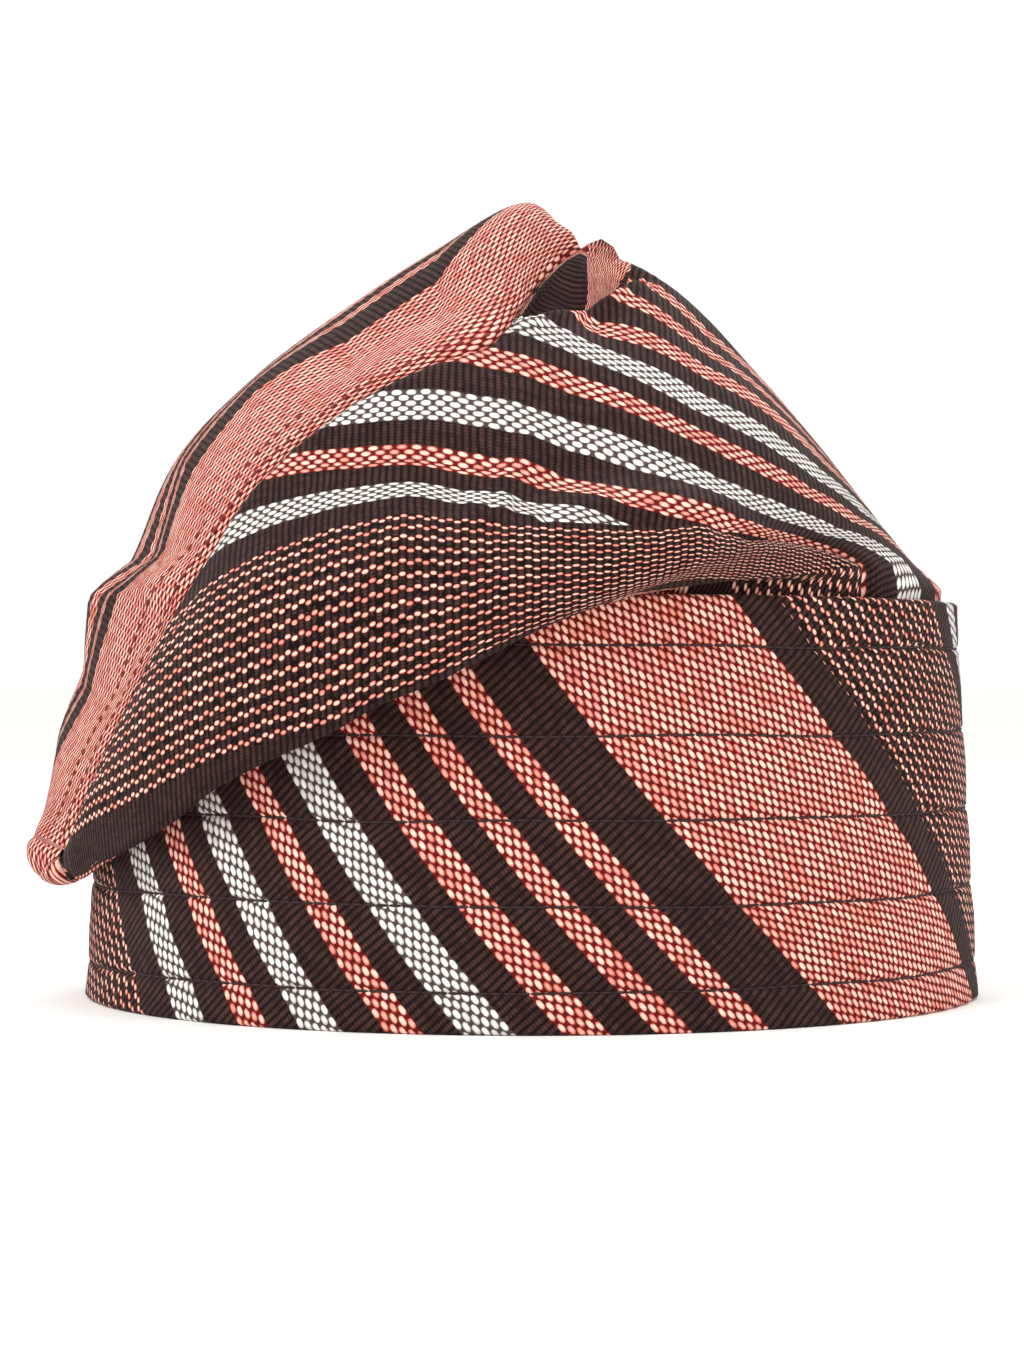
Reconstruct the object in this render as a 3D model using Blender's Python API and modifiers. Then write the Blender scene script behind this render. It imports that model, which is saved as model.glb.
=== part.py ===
# Fila cap: a stiff quilted band with a soft crown that bends over to one side.
#
# The crown is a tube of cloth sewn inside the top of the band. It rises at the right, is pinched
# down over the band at the front, and hangs to the left as a pouch that ends in a low tip. A long
# oval panel closes the end of the tube, from the tip up to the peak.
#
# Sizes are in millimetres, +Z up, +X to the right seen from the front, -Y the front.

from collections import namedtuple

import bmesh
import bpy
import numpy as np

MM = 0.001

# Band: an oval cuff with a flat underside
BAND_HALF_WIDTH = 97.5
BAND_HALF_DEPTH = 93.5
BAND_HEIGHT = 85.0
BAND_TAPER = 4.6
BAND_WALL = 3.0
BAND_EDGE_ROUND = 0.5
BAND_STEPS = 96

# Crown cloth
CLOTH = 1.1
SEWING_GAP = 0.35
BAND_GAP = 0.5
HEM_DEPTH = 9.0
EDGE_CLEARANCE = 0.9
POUCH_ROOM = 4.2
POUCH_EASE = 3
HINGE_ARC = 0.4
BACK_ROLL = 0.6

# Columns round the tube, counted on each side of its folds and seams
FRONT_COLUMNS = 15
PANEL_COLUMNS = 8
BACK_COLUMNS = 10
UNDER_COLUMNS = 22
ROWS_BETWEEN = 2
CREASE_ROUNDING = 2
MOST_ROUNDING = 12
CREASE_RADIUS = 3.0

# The tube's sections, from the right of the band round to the tip. A section starts at the front
# fold, goes up the front to the panel's seam, over the ridge to the seam at the back, and down to
# the back fold. Sections that the panel doesn't reach have their seams on the ridge.
# roll is how far the rolled lower edge stands out and roll_height how tall it is. belly is how
# far the cloth above it bulges, and back_belly the same at the back.
Section = namedtuple(
    "Section", "fold seam ridge back_seam back_fold roll roll_height belly back_belly")

SECTIONS = [
    Section((41, -82, 87.5), None, (82, -6, 95), None, (40, 83, 87), 1, 20, 12, 16),
    Section((32, -92, 87), None, (64, -10, 117), None, (27, 92, 86), 4, 24, 12, 20),
    Section((26, -97, 85), None, (47, -12, 137), None, (12, 97, 84), 7, 28, 12, 22),
    Section((12, -99, 81), None, (29, -14, 154), None, (-2, 99, 82), 9, 32, 11, 23),
    Section((-1, -100, 75), None, (11, -15, 162), None, (-14, 99, 79), 10, 34, 11, 22),
    Section((-16, -101, 66), (-7, -62, 137), (-1, -12, 172), (-2, 26, 158), (-27, 99, 75), 9, 40, 9, 16),
    Section((-27, -99, 62), (-21, -68, 132), (-20, -10, 163), (-20, 34, 147), (-40, 95, 70), 8, 44, 8, 14),
    Section((-38, -95, 56), (-37, -72, 124), (-41, -8, 150), (-40, 36, 134), (-52, 88, 65), 8, 48, 7, 12),
    Section((-50, -88, 51), (-53, -72, 111), (-61, -8, 135), (-61, 36, 118), (-64, 79, 58), 8, 50, 6, 10),
    Section((-62, -79, 45), (-64, -68, 95), (-77, -8, 119), (-81, 32, 100), (-75, 68, 51), 8, 50, 4, 8),
    Section((-71, -70, 39), (-73, -62, 77), (-90, -10, 99), (-95, 28, 84), (-84, 55, 44), 8, 44, 2, 6),
    Section((-80, -60, 34), (-82, -54, 63), (-97, -12, 83), (-97, 20, 67), (-91, 41, 38), 7, 36, 1, 4),
    Section((-88, -48, 30), (-90, -46, 49), (-102, -14, 60), (-102, 10, 53), (-97, 26, 33), 5, 26, 1, 4),
    Section((-92.5, -37, 27), (-97, -38, 39), (-107, -16, 43), (-105, 3, 41), (-98.5, 13, 29), 4, 16, 1, 4),
    Section((-96, -27, 25.5), (-100, -29, 33), (-110, -17, 36), (-107, -3, 35), (-99.5, 4, 26.5), 3, 12, 0, 3),
]
TIP = (-105.0, -14.0, 24.0)
TIP_SHARES = (0.45, 0.8, 1.0)
TIP_INSIDE = (-103.9, -13.6, 25.6)
BAND_LOOPS = 4
PANEL_ROW = (BAND_LOOPS + [s.seam is None for s in SECTIONS].count(True) - 1) * ROWS_BETWEEN
FIRST_PANEL_COLUMN = FRONT_COLUMNS
LAST_PANEL_COLUMN = FRONT_COLUMNS + PANEL_COLUMNS

# Soft folds that cross the sections: a centre, the direction that the fold runs in, its
# half length and half width, and how far it sinks
Fold = namedtuple("Fold", "centre along half_length half_width sink")

FOLDS = [
    Fold((14, -32, 158), (0.35, -0.5, -0.8), 24, 11, 4.5),
    Fold((-22, -48, 146), (-0.75, -0.2, -0.6), 34, 11, 3),
    Fold((26, -88, 95), (0.8, -0.1, -0.3), 30, 9, 1),
]

BAND_BROWN = (0.060, 0.022, 0.020, 1.0)
CROWN_BROWN = (0.075, 0.028, 0.026, 1.0)
CORAL = (0.56, 0.15, 0.12, 1.0)
CLOTH_ROUGHNESS = 0.85


def band_half_axes(height):
    """Half width and half depth of the band's outer face at a height."""
    inward = BAND_TAPER * height / BAND_HEIGHT
    return BAND_HALF_WIDTH - inward, BAND_HALF_DEPTH - inward


def oval_point(azimuth, inset, height):
    """A point beside the band's outer face, inset from it, at an azimuth of the oval."""
    half_width, half_depth = band_half_axes(min(height, BAND_HEIGHT))
    return np.array((
        (half_width - inset) * np.cos(azimuth),
        (half_depth - inset) * np.sin(azimuth),
        height,
    ))


def oval_azimuth(point):
    """The azimuth of a point, measured on the oval, from -pi to pi."""
    half_width, half_depth = band_half_axes(BAND_HEIGHT)
    return np.arctan2(point[1] / half_depth, point[0] / half_width)


def oval_reach(point):
    """How far a point stands out from the band's outer face."""
    azimuth = oval_azimuth(point)
    face = oval_point(azimuth, 0.0, point[2])
    return np.hypot(point[0], point[1]) - np.hypot(face[0], face[1])


def smooth_step(value):
    value = np.clip(value, 0.0, 1.0)
    return value * value * (3.0 - 2.0 * value)


def bulged_line(start, end, fraction, outward, bulge):
    """A point on a line from start to end that is pushed out to the side."""
    start, end = np.array(start, float), np.array(end, float)
    chord = end - start
    chord /= np.linalg.norm(chord)
    side = np.array(outward, float)
    side -= chord * side.dot(chord)
    side /= np.linalg.norm(side)
    return start + (end - start) * fraction + side * bulge


def front_point(section, fraction):
    """From the front fold, round the roll, and up the front to the seam."""
    top = section.seam or section.ridge
    length = np.linalg.norm(np.subtract(top, section.fold))
    bulge = section.belly * np.sin(np.pi * fraction)
    on_roll = np.clip(fraction * length / section.roll_height, 0.0, 1.0)
    bulge += section.roll * np.sin(np.pi * on_roll)
    outward = (0.35 * section.fold[0], section.fold[1], 0.0)
    return bulged_line(section.fold, top, fraction, outward, bulge)


def panel_point(section, fraction):
    """Over the end panel, from its front seam across the ridge to its back seam."""
    seam, back_seam = section.seam or section.ridge, section.back_seam or section.ridge
    seam, ridge, back_seam = (np.array(p, float) for p in (seam, section.ridge, back_seam))
    middle = 2.0 * ridge - 0.5 * (seam + back_seam)
    near, far = (1.0 - fraction) ** 2, fraction ** 2
    return near * seam + 2.0 * fraction * (1.0 - fraction) * middle + far * back_seam


def back_point(section, fraction):
    """From the back seam down to the back fold."""
    top = section.back_seam or section.ridge
    outward = (0.35 * section.back_fold[0], section.back_fold[1], 0.0)
    length = np.linalg.norm(np.subtract(top, section.back_fold))
    bulge = section.back_belly * np.sin(np.pi * fraction)
    on_roll = np.clip((1.0 - fraction) * length / section.roll_height, 0.0, 1.0)
    bulge += BACK_ROLL * section.roll * np.sin(np.pi * on_roll)
    return bulged_line(top, section.back_fold, fraction, outward, bulge)


def pouch_edge_at(azimuth):
    """The section whose fold lies at an azimuth, and the height and reach of the edge there."""
    back = [(oval_azimuth(s.back_fold), k, s.back_fold) for k, s in enumerate(SECTIONS)]
    front = [(oval_azimuth(s.fold), k, s.fold) for k, s in enumerate(SECTIONS)]
    edge = sorted((angle % (2.0 * np.pi), k, point) for angle, k, point in back + front)
    angles = [row[0] for row in edge]
    section = np.interp(azimuth, angles, [row[1] for row in edge])
    height = np.interp(azimuth, angles, [row[2][2] for row in edge])
    reach = np.interp(azimuth, angles, [oval_reach(row[2]) for row in edge])
    return section, height, reach


def under_point(section, fraction):
    """Under the pouch, close to the band, from the back fold round to the front fold."""
    start = oval_azimuth(section.back_fold) % (2.0 * np.pi)
    end = oval_azimuth(section.fold) % (2.0 * np.pi)
    azimuth = start + (end - start) * fraction
    edge_section, edge_height, edge_reach = pouch_edge_at(azimuth)
    down = min((SECTIONS.index(section) + 1.0) / (edge_section + 1.0), 1.0)
    height = BAND_HEIGHT + (edge_height - BAND_HEIGHT) * down
    reach = EDGE_CLEARANCE + (edge_reach - EDGE_CLEARANCE) * down ** 6
    return oval_point(azimuth, -reach, height)


def section_loop(section):
    """All the points round one section, in order."""
    points = [front_point(section, i / FRONT_COLUMNS) for i in range(FRONT_COLUMNS)]
    points += [panel_point(section, i / PANEL_COLUMNS) for i in range(PANEL_COLUMNS)]
    points += [back_point(section, i / BACK_COLUMNS) for i in range(BACK_COLUMNS)]
    points += [under_point(section, i / UNDER_COLUMNS) for i in range(UNDER_COLUMNS)]
    return np.array(points)


def band_loop(height, over_edge, edge_height):
    """A loop along the top of the band: over its edge where the pouch hangs, plain elsewhere."""
    first = SECTIONS[0]
    ridge = oval_azimuth(first.ridge)
    fold, back_fold = oval_azimuth(first.fold), oval_azimuth(first.back_fold)
    turns = (
        (fold, ridge, FRONT_COLUMNS),
        (ridge, ridge, PANEL_COLUMNS),
        (ridge, back_fold, BACK_COLUMNS),
        (back_fold, fold + 2.0 * np.pi, UNDER_COLUMNS),
    )
    azimuths = [a + (b - a) * i / count for a, b, count in turns for i in range(count)]
    inside = BAND_WALL + BAND_GAP
    points = []
    for azimuth in azimuths:
        past_hinge = min(azimuth - back_fold, fold + 2.0 * np.pi - azimuth)
        pouch = smooth_step(past_hinge / HINGE_ARC)
        inset = inside + (-EDGE_CLEARANCE - inside) * over_edge * pouch
        points.append(oval_point(azimuth, inset, height + (edge_height - height) * pouch))
    return np.array(points)


def clear_of_band(loop, past_hinge):
    """Move the points that would touch the outside of the band out to the clearance.

    Past the hinge, the outer cloth of the pouch also leaves room for the cloth over the edge.
    """
    back_fold = FRONT_COLUMNS + PANEL_COLUMNS + BACK_COLUMNS
    for i, point in enumerate(loop):
        from_fold = np.clip(min(i, back_fold - i), 0, POUCH_EASE) / POUCH_EASE
        over_edge = np.clip((BAND_HEIGHT + 13.0 - point[2]) / 8.0, 0.0, 1.0)
        over_edge = over_edge if past_hinge and from_fold > 0.0 else float(point[2] < BAND_HEIGHT + 0.2)
        if over_edge > 0.0:
            clearance = EDGE_CLEARANCE + POUCH_ROOM * from_fold
            missing = over_edge * max(clearance - oval_reach(point), 0.0)
            loop[i] = point + missing * np.array((point[0], point[1], 0.0)) / np.hypot(point[0], point[1])
    return loop


def round_creases(loop, has_panel):
    """Ease the sharp turns of a closed loop, whose panel columns are one point before the panel.

    The cloth under the pouch keeps its place, apart from the points next to its folds. The
    narrow loops near the tip, whose points are closer together, are eased all round and more often.
    """
    ridge = slice(FRONT_COLUMNS + 1, FRONT_COLUMNS + PANEL_COLUMNS + 1)
    share = np.full(len(loop), 0.5)
    spacing = np.linalg.norm(loop[FRONT_COLUMNS] - loop[0]) / FRONT_COLUMNS
    passes = int(np.clip(2.0 * (CREASE_RADIUS / spacing) ** 2, CREASE_ROUNDING, MOST_ROUNDING))
    if passes < MOST_ROUNDING:
        share[FRONT_COLUMNS + PANEL_COLUMNS + BACK_COLUMNS + 2:-1] = 0.0
    if not has_panel:
        loop, share = np.delete(loop, ridge, axis=0), np.delete(share, ridge)
    for _ in range(passes):
        beside = 0.5 * (np.roll(loop, 1, axis=0) + np.roll(loop, -1, axis=0))
        loop = loop + (beside - loop) * share[:, None]
    if not has_panel:
        repeated = np.repeat(loop[FRONT_COLUMNS:FRONT_COLUMNS + 1], PANEL_COLUMNS, axis=0)
        loop = np.insert(loop, FRONT_COLUMNS + 1, repeated, axis=0)
    return loop


def spread_rows(rows):
    """Add rows between the given ones on smooth curves through them."""
    spread = []
    for i in range(len(rows) - 1):
        before, here = rows[max(i - 1, 0)], rows[i]
        there, after = rows[i + 1], rows[min(i + 2, len(rows) - 1)]
        step = np.linalg.norm(there - here, axis=1, keepdims=True) + 1e-6
        step_before = np.linalg.norm(here - before, axis=1, keepdims=True) + 1e-6
        step_after = np.linalg.norm(after - there, axis=1, keepdims=True) + 1e-6
        slope_here = step * (there - before) / (step + step_before)
        slope_there = step * (after - here) / (step + step_after)
        for k in range(ROWS_BETWEEN):
            t = k / ROWS_BETWEEN
            spread.append(
                here * (2 * t ** 3 - 3 * t ** 2 + 1) + there * (3 * t ** 2 - 2 * t ** 3)
                + slope_here * (t ** 3 - 2 * t ** 2 + t) + slope_there * (t ** 3 - t ** 2))
    spread.append(rows[-1])
    return spread


def sink_folds(points, normals):
    """Press the soft folds into the cloth."""
    moved = points.copy()
    for fold in FOLDS:
        along = np.array(fold.along) / np.linalg.norm(fold.along)
        offset = points - np.array(fold.centre, float)
        run = offset @ along
        across = np.linalg.norm(offset - run[..., None] * along, axis=-1)
        depth = fold.sink * np.exp(-(run / fold.half_length) ** 2 - (across / fold.half_width) ** 2)
        moved -= normals * depth[..., None]
    return moved


def shared_place(row, column, rows):
    """The row and column that stand for a place of the grid where several meet in one point."""
    if row == rows - 1:
        return row, 0
    if row <= PANEL_ROW and FIRST_PANEL_COLUMN <= column <= LAST_PANEL_COLUMN:
        return row, FIRST_PANEL_COLUMN
    return row, column


def grid_normals(grid):
    """Unit normals of a grid whose columns close on themselves, pointing out of the tube."""
    rows, columns = grid.shape[:2]
    sums = {}
    for r in range(rows - 1):
        for c in range(columns):
            d = (c + 1) % columns
            normal = np.cross(grid[r, d] - grid[r + 1, c], grid[r + 1, d] - grid[r, c])
            corners = {shared_place(*corner, rows) for corner in ((r, c), (r + 1, c), (r + 1, d), (r, d))}
            for corner in corners:
                sums[corner] = sums.get(corner, 0.0) + normal
    normals = np.zeros_like(grid)
    for r in range(rows):
        for c in range(columns):
            total = sums[shared_place(r, c, rows)]
            normals[r, c] = total / np.linalg.norm(total)
    return normals


def crown_grid():
    """The crown's outer surface as rows and columns."""
    hem = BAND_HEIGHT - HEM_DEPTH
    rows = [
        band_loop(hem, 0.0, hem),
        band_loop(BAND_HEIGHT - 0.5, 0.0, BAND_HEIGHT - 0.5),
        band_loop(BAND_HEIGHT + 1.0, 0.5, BAND_HEIGHT + 1.6),
        band_loop(BAND_HEIGHT + 3.0, 1.0, BAND_HEIGHT + 0.9),
    ]
    rows += [round_creases(section_loop(section), section.seam is not None) for section in SECTIONS]
    rows = spread_rows(rows)
    pouch_start = (BAND_LOOPS - 1) * ROWS_BETWEEN + 1
    for i in range(pouch_start, len(rows)):
        rows[i] = clear_of_band(rows[i], i > PANEL_ROW)
    last = rows[-1]
    for share in TIP_SHARES:
        rows.append(last + (np.array(TIP) - last) * share)
    grid = np.array(rows)
    return sink_folds(grid, grid_normals(grid))


def pull_back(grid, row, column, neighbour, distance):
    """A point moved from a seam towards its neighbour."""
    here, there = grid[row, column], grid[neighbour]
    step = there - here
    length = np.linalg.norm(step)
    return here if length < 2.0 * distance else here + step * distance / length


def cloth_shell(name, outer, inner, cells, color):
    """A closed wall of cloth over the given cells of its outer and inner grids."""
    mesh = bpy.data.meshes.new(name)
    shell = bmesh.new()
    rows, columns = outer.shape[:2]
    made = {}

    def vertex(place, wall):
        key = (*shared_place(*place, rows), wall is inner)
        if key not in made:
            made[key] = shell.verts.new(wall[key[0], key[1]] * MM)
        return made[key]

    edges = {}
    for row, column in cells:
        beside = (column + 1) % columns
        corners = [(row, column), (row, beside), (row + 1, beside), (row + 1, column)]
        ring = list(dict.fromkeys(shared_place(*corner, rows) for corner in corners))
        if len(ring) < 3:
            continue
        shell.faces.new([vertex(place, outer) for place in ring])
        shell.faces.new([vertex(place, inner) for place in reversed(ring)])
        for here, there in zip(ring, ring[1:] + ring[:1]):
            if edges.pop((there, here), None) is None:
                edges[here, there] = True
    for here, there in edges:
        rim = [(there, outer), (here, outer), (here, inner), (there, inner)]
        shell.faces.new([vertex(*corner) for corner in rim])
    shell.to_mesh(mesh)
    shell.free()
    return finish_piece(name, mesh, color)


def finish_piece(name, mesh, color):
    """An object for a mesh, with its material."""
    material = bpy.data.materials.new(name + "_cloth")
    material.use_nodes = True
    shader = material.node_tree.nodes["Principled BSDF"]
    shader.inputs["Base Color"].default_value = color
    shader.inputs["Roughness"].default_value = CLOTH_ROUGHNESS
    shader.inputs["Metallic"].default_value = 0.0
    mesh.materials.append(material)
    mesh.shade_smooth()
    mesh.set_sharp_from_angle(angle=np.radians(40.0))
    piece = bpy.data.objects.new(name, mesh)
    parts.objects.link(piece)
    return piece


def make_crown():
    """The crown's tube and the panel that closes it, with a sewing gap between them."""
    grid = crown_grid()
    normals = grid_normals(grid)
    rows, columns = grid.shape[:2]
    section_end = rows - 1 - len(TIP_SHARES)
    first, last = FIRST_PANEL_COLUMN, LAST_PANEL_COLUMN
    panel_cells = [(r, c) for r in range(PANEL_ROW, section_end) for c in range(first, last)]
    tip_cells = [(r, c) for r in range(section_end, rows - 1) for c in range(columns)]
    taken = set(panel_cells)
    body_cells = [(r, c) for r in range(section_end) for c in range(columns) if (r, c) not in taken]

    body = grid.copy()
    panel = grid.copy()
    for r in range(PANEL_ROW + 1, section_end + 1):
        body[r, first] = pull_back(grid, r, first, (r, first - 1), SEWING_GAP)
        panel[r, first] = pull_back(grid, r, first, (r, first + 1), SEWING_GAP)
        body[r, last] = pull_back(grid, r, last, (r, last + 1), SEWING_GAP)
        panel[r, last] = pull_back(grid, r, last, (r, last - 1), SEWING_GAP)
    for c in range(columns):
        if not first < c < last:
            body[section_end, c] = pull_back(body, section_end, c, (section_end - 1, c), SEWING_GAP)
            panel[section_end, c] = pull_back(panel, section_end, c, (section_end + 1, c), SEWING_GAP)
    panel[PANEL_ROW, first] = pull_back(grid, PANEL_ROW, first, (PANEL_ROW + 1, (first + last) // 2), 1.5)
    body_inside = body - CLOTH * normals
    panel_inside = panel - CLOTH * normals
    for share, r in zip(TIP_SHARES, range(section_end + 1, rows)):
        end_loop = panel_inside[section_end]
        panel_inside[r] = end_loop + (np.array(TIP_INSIDE) - end_loop) * share
    cloth_shell("crown_body", body, body_inside, body_cells, CROWN_BROWN)
    cloth_shell("crown_top", panel, panel_inside, panel_cells + tip_cells, CORAL)


def make_band():
    """The band: a turned wall with rounded edges, stretched to the oval."""
    outline = [
        (BAND_HALF_WIDTH - BAND_WALL + BAND_EDGE_ROUND, 0.0),
        (BAND_HALF_WIDTH - BAND_WALL, BAND_EDGE_ROUND),
        (BAND_HALF_WIDTH - BAND_TAPER - BAND_WALL, BAND_HEIGHT - BAND_EDGE_ROUND),
        (BAND_HALF_WIDTH - BAND_TAPER - BAND_WALL + BAND_EDGE_ROUND, BAND_HEIGHT),
        (BAND_HALF_WIDTH - BAND_TAPER - BAND_EDGE_ROUND, BAND_HEIGHT),
        (BAND_HALF_WIDTH - BAND_TAPER, BAND_HEIGHT - BAND_EDGE_ROUND),
        (BAND_HALF_WIDTH, BAND_EDGE_ROUND),
        (BAND_HALF_WIDTH - BAND_EDGE_ROUND, 0.0),
    ]
    mesh = bpy.data.meshes.new("band_profile")
    points = [(x * MM, 0.0, z * MM) for x, z in outline]
    count = len(points)
    mesh.from_pydata(points, [(i, (i + 1) % count) for i in range(count)], [])
    profile = bpy.data.objects.new("band_profile", mesh)
    parts.objects.link(profile)
    turn = profile.modifiers.new("turn", "SCREW")
    turn.steps = turn.render_steps = BAND_STEPS
    turn.use_merge_vertices = True
    turn.merge_threshold = 0.00001
    turn.use_normal_calculate = True
    depsgraph = bpy.context.evaluated_depsgraph_get()
    turned = bpy.data.meshes.new_from_object(profile.evaluated_get(depsgraph))
    bpy.data.objects.remove(profile)
    for vertex in turned.vertices:
        taper = BAND_TAPER * (vertex.co.z / MM) / BAND_HEIGHT
        wide = BAND_HALF_WIDTH - taper
        vertex.co.y *= (BAND_HALF_DEPTH - taper) / wide
    turned.name = "band"
    return finish_piece("band", turned, BAND_BROWN)


def centre_on_floor():
    """Put the middle of the whole cap's footprint at the origin."""
    corners = np.array([v.co for piece in parts.objects for v in piece.data.vertices])
    middle = 0.5 * (corners.min(axis=0) + corners.max(axis=0))
    for piece in parts.objects:
        for vertex in piece.data.vertices:
            vertex.co.x -= middle[0]
            vertex.co.y -= middle[1]


for old in list(bpy.data.objects):
    bpy.data.objects.remove(old, do_unlink=True)
parts = bpy.data.collections.new("fila_cap")
bpy.context.scene.collection.children.link(parts)

make_band()
make_crown()
centre_on_floor()
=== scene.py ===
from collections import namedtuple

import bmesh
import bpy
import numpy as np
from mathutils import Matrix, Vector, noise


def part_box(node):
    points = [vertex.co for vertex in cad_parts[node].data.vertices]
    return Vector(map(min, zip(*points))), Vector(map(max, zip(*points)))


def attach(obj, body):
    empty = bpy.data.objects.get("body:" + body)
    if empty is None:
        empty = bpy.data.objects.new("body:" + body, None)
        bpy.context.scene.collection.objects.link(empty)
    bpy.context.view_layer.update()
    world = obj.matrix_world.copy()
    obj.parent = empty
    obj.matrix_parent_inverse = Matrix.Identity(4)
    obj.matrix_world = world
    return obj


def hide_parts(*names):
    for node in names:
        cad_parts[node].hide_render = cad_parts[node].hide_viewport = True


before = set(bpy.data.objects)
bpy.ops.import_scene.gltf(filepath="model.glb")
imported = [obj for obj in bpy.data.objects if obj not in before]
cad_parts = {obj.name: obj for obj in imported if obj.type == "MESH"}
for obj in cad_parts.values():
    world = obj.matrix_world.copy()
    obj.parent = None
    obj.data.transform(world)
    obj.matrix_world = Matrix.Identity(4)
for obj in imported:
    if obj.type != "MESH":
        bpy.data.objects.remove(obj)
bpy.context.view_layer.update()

# Fila cap: the looks of the quilted band, the soft crown and its end panel.
#
# The crown repeats the sections of the CAD part, finely divided, with the small folds, seams,
# stitches and the striped weave added. Sizes are in millimetres round the band's axis, +X to the
# right seen from the front, -Y the front. U runs across the stripes and V along them.

MM = 0.001
band_low, band_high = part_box("band")
AXIS = np.array((0.5 * (band_low[0] + band_high[0]), 0.5 * (band_low[1] + band_high[1]), 0.0))

# Camera: level, as far away as the curves of the band show
EYE = (-4.29, -719.0, 67.8)
LENS = 86.1

# Stage, in metres: a floor, a white room, and lamps that point at one place, each with its place,
# size and power
FLOOR_SIZE = 60.0
WORLD_STRENGTH = 1.03
LIT_PLACE = (0.0, 0.0, 0.08)
LIGHTS = (
    ("key", (-0.7, -0.8, 1.1), 0.6, 11.0),
    ("side", (0.9, -0.6, 0.6), 0.6, 3.0),
    ("back", (0.2, 0.9, 0.9), 0.8, 4.0),
)

# Band: a slightly conical oval with soft edges (inset and height), rows of points up its face and
# inside, a quilted swell and a seam at the back
BAND_HALF_WIDTH = 97.5
BAND_HALF_DEPTH = 93.5
BAND_HEIGHT = 85.0
BAND_TAPER = 4.6
BAND_WALL = 3.0
BAND_STEPS = 480
BAND_EDGE = ((2.3, 0.0), (1.5, 0.0), (0.6, 0.15))
FACE_ENDS = (0.6, 1.4)
FACE_MARGIN = 3.0
FACE_ROWS = 27
INNER_EDGE = 0.7
INNER_ROWS = 9
QUILT_SWELL = 0.25
QUILT_REACH = 4.5
BACK_SEAM_SINK = 0.7
BACK_SEAM_ARC = 0.012

# The band's rows of stitches, which sink into it and wander a little up and down
STITCH_HEIGHTS = (8.0, 24.5, 41.0, 57.5, 75.0)
STITCH_SINK = 0.7
STITCH_HALF_WIDTH = 0.55
STITCH_WANDER = 0.7
WANDER_REACH = 4.0
STEPS_AT_STITCH = (-2.6, -1.5, -0.9, -0.6, -0.3, 0.0, 0.3, 0.6, 0.9, 1.5, 2.6)

# Unevenness of the band's face: the height of its waves with their fineness, and the scale round
# the band and upwards of the waves and of the stitch rows' wandering
BAND_WAVES = ((0.22, 1.0), (0.10, 3.0))
WAVE_SCALE = (8.0, 12.0)
WANDER_SCALE = (2.5, 9.0)

# The band's bias cut: how fast U and V grow round the band and up it, where the growth of U upwards
# turns, and the arc and height at which the middle of a white stripe lies
U_ROUND = 0.683
U_UP = 0.46
U_UP_GROWTH = 0.22
U_UP_TURN = (-95.0, 165.0)
V_ROUND = 0.62
V_SCALE = 0.93
WHITE_ON_BAND = (-46.0, 5.0)

# Rows of stitches on the panel: their distance from its front seam, and their first and last section
PANEL_STITCHES = ((3.6, 5.0, 13.5), (10.5, 7.6, 13.5))

# A stitch's length, the space after it, and how far its ends dip, in radii of the thread
BAND_STITCH = (2.6, 0.05, 0.3)
PANEL_STITCH = (1.9, 1.0, 1.4)

# Rings along a stitch: their places, their lift between the dipped ends, and their sizes
THREAD_RADIUS = 0.32
THREAD_SIDES = 6
STITCH_PLACES = (0.0, 0.12, 0.5, 0.88, 1.0)
STITCH_LIFTS = (0.1, 0.5, 0.1)
STITCH_SIZES = (0.5, 0.9, 1.0, 0.9, 0.5)

# Crown cloth: its thickness, how far each edge of a seam is pulled back, how much of the front's
# roll the back has, and how far the bulge of the cloth turns sideways
CLOTH = 1.1
SEWING_GAP = 0.08
BACK_ROLL = 0.6
SIDEWAYS = 0.35

# The pouch over the band: its gap to the band inside and outside, the room for the cloth under it,
# how its cloth curves away under it, the arc in which it turns out over the edge, and how high over
# the band it is kept clear
BAND_GAP = 0.5
EDGE_CLEARANCE = 0.9
POUCH_ROOM = 3.2
UNDER_CURVE = 6
HINGE_ARC = 0.4
EDGE_HEIGHT = 0.2
CLEAR_HEIGHT = 9.0
CLEAR_EASE = 8.0

# Loops from the hem to the first section: the height beside the pouch, how far the pouch reaches
# over the band's edge, and its height there. Heights are from the band's top
HEM_LOOPS = ((-9.0, 0.0, -9.0), (-0.5, 0.0, -0.5), (1.0, 0.5, 1.6), (3.0, 1.0, 0.9))
BAND_LOOPS = len(HEM_LOOPS)

# Columns round the tube, counted on each side of its folds and seams
FINE = 4
FRONT_COLUMNS = 15 * FINE
PANEL_COLUMNS = 8 * FINE
BACK_COLUMNS = 10 * FINE
UNDER_COLUMNS = 66
POUCH_EASE = 3 * FINE
ROWS_BETWEEN = 8
CREASE_RADIUS = 4.0
MOST_ROUNDING = 160

# The tube's sections, from the right of the band round to the tip: the points where it folds, turns
# and has its seams, the roll at the fold with its height, and how far the front and back belly out
Section = namedtuple(
    "Section", "fold seam ridge back_seam back_fold roll roll_height belly back_belly")

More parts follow.
